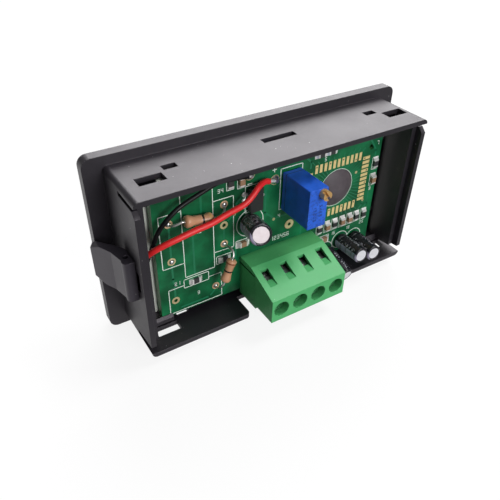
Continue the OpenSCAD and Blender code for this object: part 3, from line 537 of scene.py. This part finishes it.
LOOKS = {
    "case": CASE,
    "mounting_clip_left": CLIP,
    "mounting_clip_right": CLIP,
    "front_window": clear_sheet(),
    "lcd_glass": display_cell(),
    "zebra_strip_upper": ELASTOMER,
    "zebra_strip_lower": ELASTOMER,
    "backlight_panel": white_panel(),
    "pcb": solder_mask(),
    "gold_pads": GOLD,
    "solder_pads": PAD_TIN,
    "solder_joints": SOLDER,
    "chip_cover": resin(),
    "trimmer_body": trimmer_finish(),
    "trimmer_pins": TIN,
    "trimmer_screw": BRASS,
    "terminal_housing": GREEN,
    "terminal_contacts": TIN,
    "capacitor_leads": TIN,
    "regulator": regulator_finish(),
    "chip_resistors": CHIP_BLACK,
    "chip_capacitors": CHIP_BROWN,
    "chip_ends": CHIP_SOLDER,
    "wire_red": RED,
    "wire_black": BLACK,
}
LOOKS.update({f"clamp_spring_{i}": STEEL for i in range(1, 5)})
LOOKS.update({name: sleeve("sleeve_of_" + name, can) for name, can in CANS.items()})
LACQUERS = {name: banded_resistor("lacquer_of_" + name, *ends, BANDS[name])
            for name, ends in RESISTORS.items()}
LOOKS.update(LACQUERS)


def dress_nodes():
    """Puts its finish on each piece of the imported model."""
    for name, look in LOOKS.items():
        mesh = NODES[name].data
        mesh.materials.clear()
        mesh.materials.append(look.material)


# ---- Shapes ----

def add_piece(name, builder, look, smooth=False):
    """Makes an object that the meter carries, from a function that fills a bmesh."""
    bm = bmesh.new()
    builder(bm)
    bmesh.ops.recalc_face_normals(bm, faces=bm.faces)
    mesh = bpy.data.meshes.new(name)
    bm.to_mesh(mesh)
    bm.free()
    if smooth:
        mesh.shade_smooth()
    else:
        mesh.shade_flat()
    mesh.materials.append(look.material)
    piece = bpy.data.objects.new(name, mesh)
    bpy.context.scene.collection.objects.link(piece)
    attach(piece, "meter")
    return piece


def on_board(x, z, lift):
    """A point over the board, in the frame's metres."""
    return Vector((x, BOARD + lift, z)) * MM


def over_board(places):
    """Places given as x, height over the board and z."""
    return [Vector((x, BOARD + height, z)) for x, height, z in places]


def skin(bm, rings):
    """Closes a body over rings of as many vertices each."""
    bm.faces.new(rings[0])
    bm.faces.new(rings[-1])
    for low, high in zip(rings, rings[1:]):
        for k in range(len(low)):
            j = (k + 1) % len(low)
            bm.faces.new((low[k], low[j], high[j], high[k]))


def round_ring(bm, centre, across, other, radius, sides):
    """Vertices round a centre, in the plane of two directions."""
    ring = []
    for k in range(sides):
        turn = math.tau * k / sides
        spoke = across * math.cos(turn) + other * math.sin(turn)
        ring.append(bm.verts.new((centre + spoke * radius) * MM))
    return ring


def revolve(bm, base, axis, profile, sides):
    """Closed body turned round an axis, from distances along it and radii."""
    across = axis.orthogonal().normalized()
    other = axis.cross(across)
    skin(bm, [round_ring(bm, base + axis * height, across, other, radius, sides)
              for height, radius in profile])


def smooth_route(places, steps):
    """Points of a smooth line through the places, with steps from each to the next."""
    points = [Vector(place) for place in places]
    ends = [2 * points[0] - points[1], *points, 2 * points[-1] - points[-2]]
    route = []
    for a, b, c, d in zip(ends, ends[1:], ends[2:], ends[3:]):
        for k in range(steps):
            t = k / steps
            route.append(0.5 * (2 * b + (c - a) * t + (2 * a - 5 * b + 4 * c - d) * t ** 2
                                + (3 * b - a - 3 * c + d) * t ** 3))
    return [*route, points[-1]]


def sweep(bm, route, radii, sides):
    """Closed round body along a route, one radius for each point."""
    normal = (route[1] - route[0]).orthogonal().normalized()
    rings = []
    for i, (point, radius) in enumerate(zip(route, radii)):
        along = (route[min(i + 1, len(route) - 1)] - route[max(i - 1, 0)]).normalized()
        normal = (normal - along * normal.dot(along)).normalized()
        rings.append(round_ring(bm, point, normal, along.cross(normal), radius, sides))
    skin(bm, rings)


# Layers of the board: heights of their underside and top
INK_LAYER = (0.004, 0.03)
COPPER_LAYER = (0.0, 0.012)
PLATED_LAYER = (0.0, 0.08)


def slab(bm, outline, layer):
    """Closed plate over the board from an outline in x and z."""
    skin(bm, [[bm.verts.new(on_board(x, z, lift)) for x, z in outline] for lift in layer])


def line(bm, start, end, width, layer=INK_LAYER):
    """Straight line between two places, with square ends."""
    a, b = Vector(start), Vector(end)
    along = (b - a).normalized() * width / 2
    across = Vector((-along.y, along.x))
    a, b = a - along, b + along
    slab(bm, [tuple(p) for p in (a - across, b - across, b + across, a + across)], layer)


def path(bm, places, width, layer=INK_LAYER):
    for start, end in zip(places, places[1:]):
        line(bm, start, end, width, layer)


def rectangle(x, z, w, h):
    """Corners of a rectangle round its middle."""
    return [(x - w / 2, z - h / 2), (x + w / 2, z - h / 2), (x + w / 2, z + h / 2), (x - w / 2, z + h / 2)]


def loop(places):
    return [*places, places[0]]


def ring_print(bm, x, z, r, width, sides=48):
    """Flat ring, one short plate for each side."""
    def corner(radius, k):
        turn = math.tau * k / sides
        return x + radius * math.cos(turn), z + radius * math.sin(turn)

    inner, outer = r - width / 2, r + width / 2
    for k in range(sides):
        slab(bm, [corner(inner, k), corner(outer, k), corner(outer, k + 1), corner(inner, k + 1)], INK_LAYER)


# Bars of plain digits: lower left corner at 0, 0; upper right corner at 1, 2
BARS = {"a": ((0, 2), (1, 2)), "b": ((1, 2), (1, 1)), "c": ((1, 1), (1, 0)), "d": ((0, 0), (1, 0)),
        "e": ((0, 0), (0, 1)), "f": ((0, 1), (0, 2)), "g": ((0, 1), (1, 1))}
DIGITS = {"1": "bc", "2": "abged", "3": "abgcd", "4": "fgbc", "5": "afgcd", "6": "afgedc", "7": "abc",
          "8": "abcdefg", "9": "abcdfg"}


def number_print(bm, x, z, number, size):
    """Plain digits that run towards -x, as they read from the rear."""
    for place, figure in enumerate(str(number)):
        left = x - place * size * 1.8
        for bar in DIGITS[figure]:
            (ax, az), (bx, bz) = BARS[bar]
            line(bm, (left - ax * size, z + az * size), (left - bx * size, z + bz * size), 0.12)


# ---- Board: chips, pads, tracks and print ----

CHIP_LENGTH = 2.0
CHIP_WIDTH = 1.25
# Chips: middle in x and z, and whether the long side runs along z
RESISTOR_CHIPS = ((21.3, -8.8, False), (13.9, -5.65, False), (12.3, 13.2, True), (-13.0, -7.4, True),
                  (-17.8, -7.4, True), (-24.9, -7.4, True), (-27.3, -7.4, True), (-28.5, 6.9, True),
                  (-11.2, 13.7, False), (-14.2, 13.7, False))
CAPACITOR_CHIPS = ((9.7, 12.9, True), (9.2, -3.2, False), (-15.4, -7.4, True), (-20.2, -7.4, True),
                   (-22.6, -7.4, True), (-28.5, 2.4, True), (-14.8, -10.9, False))

RESIN_PLACE = Vector((-16.8, 3.4))           # middle of the resin and its ring of gold pads
RESIN_R = 4.8
PAD_COUNT = 11                               # gold pads on each of the ring's four sides
PAD_W = 0.76
PAD_L = 2.1
ROW_PITCH = 1.3                              # pads of the upper and lower rows
ROW_Z = 6.6                                  # from the middle to those rows
COLUMN_PITCH = 1.14                          # pads of the two columns
COLUMN_X = 8.6                               # from the middle to those columns

FILLED_PAD = (26.6, -1.6)
BARE_PAD = (-3.6, -2.5)
VIAS = ((-22.7, 5.9), (-26.4, -3.0), (11.0, -8.2), (11.3, 5.2), (0.9, 0.4))
LEAD_RING = (0.66, 0.56, 28)                 # radius, width and sides
BARE_RING = (0.88, 0.72, 32)
VIA_RING = (0.22, 0.3, 16)
CAN_LEAD_X = 1.0                             # from the large capacitor's foot to each lead
REARWARD = Vector((0.0, 1.0, 0.0))

TRACK_W = 0.45
FINE_TRACK_W = 0.2
TRACKS = (
    ((26.6, -2.6), (26.6, -6.4), (26.4, -8.2), (26.4, -11.6)),
    ((13.9, 2.3), (13.9, -0.7)),
    ((13.9, 4.3), (13.9, 7.6)),
    ((26.6, -0.6), (26.6, 7.0)),
    ((16.3, -13.6), (18.0, -15.2), (25.0, -15.2)),
    ((12.9, -1.6), (11.0, -3.0), (11.0, -8.0)),
    ((-8.2, -11.2), (-7.2, -10.2), (-7.2, -4.0), (-9.4, -1.8)),
    ((-6.9, 0.6), (-7.4, -1.4), (-7.4, -3.2)),
    ((-28.2, 8.6), (-28.2, 10.4), (-26.0, 13.8), (-19.0, 13.8)),
    ((-26.9, -5.6), (-28.0, -4.4), (-28.0, 0.0)),
    ((-24.9, -5.8), (-26.4, -4.2), (-26.4, -3.2)),
    ((3.4, 8.6), (3.4, 3.0), (0.8, 0.6), (-2.5, 0.6)),
    ((9.2, 9.4), (11.2, 7.4), (11.2, 5.4), (12.8, 4.2)),
    ((2.2, 14.2), (-6.8, 14.2), (-8.6, 12.4), (-8.6, 10.9)),
    ((21.4, -7.4), (21.4, 5.4), (19.2, 7.6), (19.2, 14.6)),
)

# White print: outlines of components, then plain numbers with the place of their first digit
OUTLINE_W = 0.17
FRAME_W = 0.16
CHIP_FRAME = (1.75, 3.3)                     # width and height round an upright chip
CHIP_FRAME_W = 0.11
SIGN_W = 0.15
OUTLINES = (
    ((23.75, 10.1), (28.7, 10.1), (28.7, -3.1), (23.7, -3.1)),
    loop(((23.75, 15.9), (23.65, -7.15), (16.45, -7.15), (16.5, 15.9))),
    ((16.45, 10.0), (11.55, 10.0), (11.5, -3.3), (16.45, -3.15)),
    ((24.2, -9.2), (27.9, -9.2), (27.9, -16.1), (14.75, -16.1), (14.85, -9.3), (18.1, -9.3)),
    loop(((-0.4, 2.5), (-0.4, 12.9), (-6.2, 12.9), (-6.2, 2.5))),
)
# Middle in x and z, width and height
FRAMES = ((21.1, -8.85, 6.1, 2.3), (13.75, -5.65, 4.4, 2.05), (9.2, -3.2, 3.4, 1.9),
          (REGULATOR_X, 7.9, 4.2, 6.6))
LARGE_CAN_RING = (7.3, 1.75, 3.45)           # middle and radius
SIGNS = (((0.8, 13.2), (1.8, 13.2)), ((1.3, 12.7), (1.3, 13.7)), ((7.0, 11.6), (8.0, 11.6)))
NUMBERS = ((26.3, -8.4, 21), (20.9, -13.2, 3), (20.6, 3.4, 12), (15.2, 11.6, 34), (-0.3, 0.5, 4),
           (-12.5, 11.6, 5), (-28.3, 11.9, 7), (-28.0, -0.6, 8), (-12.3, -4.6, 9), (-17.2, -10.7, 16),
           (-22.0, -10.6, 18), (-26.6, -10.4, 25), (11.8, 15.2, 11))
BOARD_NUMBER = (1.4, -5.6, 123456)


def board_print(bm):
    """White component outlines, a plus and a minus, and plain numbers on the board."""
    for outline in OUTLINES:
        path(bm, outline, OUTLINE_W)
    for x, z, w, h in FRAMES:
        path(bm, loop(rectangle(x, z, w, h)), FRAME_W)
    tightly_framed = (*RESISTOR_CHIPS[2:], CAPACITOR_CHIPS[0], *CAPACITOR_CHIPS[2:])
    for x, z, upright in tightly_framed:
        w, h = CHIP_FRAME if upright else CHIP_FRAME[::-1]
        path(bm, loop(rectangle(x, z, w, h)), CHIP_FRAME_W)
    ring_print(bm, *LARGE_CAN_RING, FRAME_W)
    ring_print(bm, *RESIN_PLACE, RESIN_R + 0.12, 0.1)
    for name, can in CANS.items():
        if name != "capacitor_large":
            ring_print(bm, can.base.x, can.base.z, can.radius + 0.5, FRAME_W)
    for start, end in SIGNS:
        line(bm, start, end, SIGN_W)
    for x, z, number in NUMBERS:
        number_print(bm, x, z, number, 0.42)
    number_print(bm, *BOARD_NUMBER, 0.5)


def board_tracks(bm):
    """Copper tracks under the lacquer, which lift it slightly."""
    for side in (-1, 1):
        for i in range(PAD_COUNT):
            step = i - (PAD_COUNT - 1) / 2
            for pad in (Vector((step * ROW_PITCH, side * (ROW_Z - 0.7))),
                        Vector((side * (COLUMN_X - 0.7), step * COLUMN_PITCH))):
                toward = pad * ((RESIN_R - 0.1) / pad.length)
                line(bm, RESIN_PLACE + pad, RESIN_PLACE + toward, FINE_TRACK_W, COPPER_LAYER)
            start = RESIN_PLACE + Vector((step * ROW_PITCH, side * (ROW_Z + 0.65)))
            fan = Vector((step * 0.25, side * (1.2 + 0.25 * (i % 3))))
            line(bm, start, start + fan, FINE_TRACK_W, COPPER_LAYER)
    for track in TRACKS:
        path(bm, track, TRACK_W, COPPER_LAYER)


def lead_pads(bm):
    """Copper rings round the leads' holes and one open pad."""
    foot = CANS["capacitor_large"].base
    for x, z in (*UPPER_HOLES, *LOWER_HOLES, (foot.x - CAN_LEAD_X, foot.z), (foot.x + CAN_LEAD_X, foot.z)):
        ring_print(bm, x, z, *LEAD_RING)
    ring_print(bm, *BARE_PAD, *BARE_RING)


def vias(bm):
    """Tinned through-holes of the tracks."""
    for x, z in VIAS:
        ring_print(bm, x, z, *VIA_RING)


def gold_pads():
    """Middles of the gold pads round the resin, and whether each stands upright."""
    for side in (-1, 1):
        for i in range(PAD_COUNT):
            step = i - (PAD_COUNT - 1) / 2
            yield RESIN_PLACE.x + step * ROW_PITCH, RESIN_PLACE.y + side * ROW_Z, True
            yield RESIN_PLACE.x + side * COLUMN_X, RESIN_PLACE.y + step * COLUMN_PITCH, False


def pad_plating(bm):
    """Gold pads round the resin at their full length."""
    for x, z, upright in gold_pads():
        w, h = (PAD_W, PAD_L) if upright else (PAD_L, PAD_W)
        slab(bm, rectangle(x, z, w, h), PLATED_LAYER)


def pad_holes(bm):
    """Plugged holes in every third gold pad, nearer one end or the other."""
    for x, z, upright in list(gold_pads())[::3]:
        out = 0.55 if (x + z) % 2 > 1 else -0.55
        a, b = (x, z + out) if upright else (x + out, z)
        revolve(bm, Vector((a, BOARD + PLATED_LAYER[1], b)), REARWARD, ((0.0, 0.2), (0.01, 0.19)), 12)


def fillet(bm, chip, end, profile):
    """Solder at one end of a chip, from distances along the chip and heights over the board."""
    x, z, upright = chip
    wide = CHIP_WIDTH / 2 + 0.06
    rows = []
    for across in (-wide, wide):
        places = [(across, end * out) if upright else (end * out, across) for out, height in profile]
        rows.append([bm.verts.new(on_board(x + a, z + b, height))
                     for (a, b), (out, height) in zip(places, profile)])
    skin(bm, rows)


def fillets(bm):
    """Solder that runs from the chips' ends onto their pads."""
    half = CHIP_LENGTH / 2
    for chips, height in ((RESISTOR_CHIPS, 0.45), (CAPACITOR_CHIPS, 0.65)):
        profile = ((half, 0.0), (half + 0.62, 0.0), (half + 0.6, 0.08), (half + 0.3, height * 0.55),
                   (half, height + 0.1))
        for chip in chips:
            for end in (-1, 1):
                fillet(bm, chip, end, profile)


def solder_domes(bm):
    """Solder at the leads of the resistors, and in one filled pad."""
    dome = ((0.0, 0.62), (0.1, 0.6), (0.26, 0.42), (0.4, 0.28))
    for x, z in (*UPPER_HOLES, *LOWER_HOLES, FILLED_PAD):
        revolve(bm, Vector((x, BOARD + 0.03, z)), REARWARD, dome, 20)


def regulator_solder(bm):
    """Solder on the regulator's tab and its three leads."""
    blob = ((0.0, 0.62), (0.12, 0.58), (0.3, 0.36))
    for x, z in ((4.4, 7.9), (8.9, 9.4), (8.9, 7.9), (8.9, 6.4)):
        revolve(bm, Vector((x, BOARD + 0.02, z)), REARWARD, blob, 16)


# ---- Trimmer, terminal block and capacitors ----

TOP_SHARE = 0.73                             # bare top of a capacitor, as a part of its radius


def trimmer_print(bm):
    """Rows of plain digits on the trimmer's rear face, on their side."""
    low, high = (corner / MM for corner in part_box("trimmer_body"))
    face = high.y - BOARD
    size = 0.34
    for row, figures in enumerate(("2468", "13579")):
        for place, figure in enumerate(figures):
            x = low.x + 1.2 + row * 1.5
            z = low.z + 5.4 - place * 0.8
            for bar in DIGITS[figure]:
                (ax, az), (bx, bz) = BARS[bar]
                line(bm, (x + az * size, z - ax * size), (x + bz * size, z - bx * size), 0.1,
                     (face, face + 0.012))


def ejector_marks(bm):
    """Two small marks that the moulding tool left on the terminal block's flat top."""
    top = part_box("terminal_housing")[1].z / MM
    for x in (7.2, -2.6):
        revolve(bm, Vector((x, BOARD + 2.6, top)), Vector((0.0, 0.0, 1.0)), ((0.0, 0.36), (0.03, 0.34)), 24)


def can_top(can):
    """Bare aluminium inside the rolled edge of the sleeve."""
    rim = can.radius * TOP_SHARE
    profile = ((can.length - 0.1, rim), (can.length - 0.03, rim))
    return lambda bm: revolve(bm, can.base, can.axis, profile, 48)


# ---- Resistors and backlight leads ----

# Resistor leads from the hole to the body and back: x, height over the board and z
LEADS = {
    "resistor_upper": (((26.6, -0.3, 7.9), (26.5, 0.5, 7.95), (25.9, 1.3, 8.15)),
                       ((16.4, 1.75, 7.0), (15.1, 1.3, 6.95), (14.1, 0.7, 7.7), (13.8, -0.3, 8.5))),
    "resistor_lower": (((13.9, -0.3, -1.6), (13.7, 0.9, -1.65), (13.3, 2.4, -2.0), (13.4, 3.2, -2.8)),
                       ((16.3, 3.3, -10.2), (16.6, 2.4, -11.5), (16.4, 1.0, -12.5), (16.3, -0.3, -12.7))),
}
LEAD_R = 0.27
BODY_RADII = {"resistor_upper": (1.32, 1.02), "resistor_lower": (1.15, 0.93)}     # at the ends, at the waist


def body_profile(bead, waist, length):
    """Distances along a resistor's body and radii there: swollen ends and a slimmer waist."""
    half = ((0.0, LEAD_R), (0.02, 0.5), (0.2, 0.86 * bead), (0.55, bead), (1.0, bead * 0.99),
            (1.5, (bead + waist) / 2), (1.85, waist * 1.01), (length / 2, waist))
    return [*half, *[(length - along, radius) for along, radius in reversed(half[:-1])]]


def resistor(name):
    """A resistor's body and its bent leads in one sweep."""
    start, end = RESISTORS[name]
    first, last = (over_board(part) for part in LEADS[name])
    along = (end - start).normalized()
    before = smooth_route([*first, start - along * 0.5, start], 5)[:-1]
    after = smooth_route([end, end + along * 0.5, *last], 5)[1:]
    body = body_profile(*BODY_RADII[name], (end - start).length)
    route = [*before, *[start + along * at for at, _ in body], *after]
    radii = [LEAD_R] * len(before) + [radius for _, radius in body] + [LEAD_R] * len(after)
    return lambda bm: sweep(bm, route, radii, 20)


# Backlight leads: x, height over the board and z
RED_ROUTE = ((3.3, 0.95, 11.45), (4.6, 1.2, 11.85), (6.6, 2.2, 11.8), (8.9, 3.0, 10.4), (11.0, 3.2, 9.2),
             (14.9, 3.6, 8.6), (18.9, 3.9, 7.8), (22.3, 3.9, 7.4), (25.5, 3.8, 6.8), (28.4, 3.4, 6.0),
             (30.8, 2.5, 4.7), (32.2, 0.9, 2.7), (32.2, -1.0, 0.8), (31.9, -2.6, -0.6))
BLACK_ROUTE = ((8.6, 0.95, 14.1), (10.5, 1.3, 14.6), (13.4, 1.5, 15.0), (16.4, 1.9, 15.3), (21.1, 2.4, 14.2),
               (25.1, 2.8, 13.0), (27.7, 2.8, 11.2), (29.7, 2.1, 8.3), (30.8, 0.9, 4.1), (31.2, -0.6, 1.2),
               (31.3, -2.6, -2.4))
PLUS_PAD = (1.1, 0.5, 10.7)
MINUS_PAD = (7.5, 0.5, 13.7)
RED_R = 0.66
BLACK_R = 0.5
STRAND_R = 0.36


def backlight_lead(places, radius):
    route = smooth_route(over_board(places), 5)
    return lambda bm: sweep(bm, route, [radius] * len(route), 20)


def stripped_ends(bm):
    """Tinned strands from the leads' insulation to their solder."""
    for pad, places in ((PLUS_PAD, RED_ROUTE), (MINUS_PAD, BLACK_ROUTE)):
        middle = tuple((a + b) / 2 for a, b in zip(pad, places[0]))
        route = smooth_route(over_board([pad, middle, places[0]]), 4)
        sweep(bm, route, [STRAND_R] * len(route), 12)


def dress_board():
    """Adds every fine part, and puts the shaped resistors and laid leads in place of the plain ones."""
    add_piece("board_print", board_print, BOARD_INK)
    add_piece("board_tracks", board_tracks, TRACK)
    add_piece("lead_pads", lead_pads, COPPER)
    add_piece("vias", vias, PAD_TIN)
    add_piece("pad_plating", pad_plating, PLATING)
    add_piece("pad_holes", pad_holes, CHIP_BLACK)
    add_piece("chip_fillets", fillets, CHIP_SOLDER)
    add_piece("regulator_solder", regulator_solder, CHIP_SOLDER, smooth=True)
    add_piece("stripped_ends", stripped_ends, CHIP_SOLDER, smooth=True)
    for name, look in LACQUERS.items():
        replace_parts(add_piece("shaped_" + name, resistor(name), look, smooth=True), name)
    for name, places, radius, look in (("wire_red", RED_ROUTE, RED_R, RED),
                                       ("wire_black", BLACK_ROUTE, BLACK_R, BLACK)):
        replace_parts(add_piece("laid_" + name, backlight_lead(places, radius), look, smooth=True), name)
    add_piece("solder_domes", solder_domes, SOLDER, smooth=True)
    add_piece("trimmer_print", trimmer_print, TRIMMER_INK)
    add_piece("ejector_marks", ejector_marks, GREEN)
    for name, can in CANS.items():
        look = LARGE_CAN_TOP if name == "capacitor_large" else SMALL_CAN_TOP
        add_piece("top_of_" + name, can_top(can), look)


# ---- Light, floor and camera; places in metres ----

FLOOR_HALF = 1.5
FLOOR_GAP = 0.0002                           # between the floor and the part
FLOOR_TONE = 0.86
REAR_TONE = 0.16                             # what the floor throws back on the rear side
GLOW_SHARE = 0.86                            # the floor's own light near the part, of 1 far away
AMBIENT = 0.22
CAMERA_PLACE = Vector((60.4, 91.4, 69.0)) * MM
CAMERA_AIM = Vector((4.73, 4.66, -9.4)) * MM
CAMERA_ROLL = 1.19                           # degrees
CAMERA_LENS = 38.77                          # millimetres on a 36 mm sensor


def pale_floor():
    """Floor seen as white with a soft shadow, which throws little light on the part's open rear."""
    f = Finish("pale_floor", Roughness=0.9, Specular_IOR_Level=0.0)
    glow = f.node("Emission", {}, {"Color": grey(1.0), "Strength": 1.0})
    seen = f.node("LightPath", out="Is Camera Ray")
    mirrored = f.node("LightPath", out="Is Glossy Ray")
    through = f.node("LightPath", out="Is Transmission Ray")
    x, y, z = f.axes()
    front = 1.0 - y.ease(-30.0, 50.0)
    away = f.length(f.place()).ease(150.0, 700.0)
    f.set(Base_Color=f.mix(seen.most(front), grey(REAR_TONE), grey(FLOOR_TONE)))
    near = seen.most(mirrored * front).most(through) * GLOW_SHARE
    share = near.most(seen * (GLOW_SHARE + (1.0 - GLOW_SHARE) * away))
    blend = f.node("MixShader", {}, {0: share, 1: Socket(f, f.shader.outputs[0]), 2: glow})
    f.feed(f.tree.nodes["Material Output"].inputs["Surface"], blend)
    return f


def make_floor():
    bm = bmesh.new()
    for x, y in rectangle(0.0, 0.0, 2 * FLOOR_HALF, 2 * FLOOR_HALF):
        bm.verts.new((x, y, 0))
    bm.faces.new(bm.verts)
    mesh = bpy.data.meshes.new("floor")
    bm.to_mesh(mesh)
    bm.free()
    mesh.materials.append(pale_floor().material)
    floor = bpy.data.objects.new("floor", mesh)
    floor.location.z = cad_low.z - FLOOR_GAP
    bpy.context.scene.collection.objects.link(floor)


def make_world():
    """White for the camera, and an even dim light for the part."""
    world = bpy.data.worlds.new("studio")
    bpy.context.scene.world = world
    world.use_nodes = True
    tree = world.node_tree
    back = tree.nodes["Background"]
    back.inputs["Color"].default_value = rgba(grey(1.0))
    light_path = tree.nodes.new("ShaderNodeLightPath")
    strength = tree.nodes.new("ShaderNodeMath")
    strength.operation = "MULTIPLY_ADD"
    strength.inputs[1].default_value = 1.0 - AMBIENT
    strength.inputs[2].default_value = AMBIENT
    tree.links.new(light_path.outputs["Is Camera Ray"], strength.inputs[0])
    tree.links.new(strength.outputs[0], back.inputs["Strength"])


def area_light(name, place, size, power):
    """Square lamp that looks at the frame's origin."""
    lamp = bpy.data.lights.new(name, "AREA")
    lamp.shape = "SQUARE"
    lamp.size = size
    lamp.energy = power
    holder = bpy.data.objects.new(name, lamp)
    holder.location = place
    holder.rotation_euler = (-Vector(place)).to_track_quat("-Z", "Y").to_euler()
    bpy.context.scene.collection.objects.link(holder)


def make_camera():
    data = bpy.data.cameras.new("camera")
    data.sensor_width = 36
    data.lens = CAMERA_LENS
    data.clip_start = 0.005
    camera = bpy.data.objects.new("camera", data)
    turn = (CAMERA_AIM - CAMERA_PLACE).to_track_quat("-Z", "Y").to_matrix().to_4x4()
    roll = Matrix.Rotation(math.radians(CAMERA_ROLL), 4, "Z")
    camera.matrix_world = Matrix.Translation(CAMERA_PLACE) @ turn @ roll
    bpy.context.scene.collection.objects.link(camera)
    bpy.context.scene.camera = camera


def make_stage():
    bpy.context.scene.view_settings.view_transform = "Standard"
    make_floor()
    make_world()
    area_light("back", (-0.5, -0.75, 0.62), 1.0, 14.5)
    area_light("top", (-0.45, 0.1, 0.8), 0.3, 4.5)
    area_light("front", (-0.12, 0.9, 0.34), 0.45, 7.5)
    make_camera()


make_stage()
dress_nodes()
dress_board()
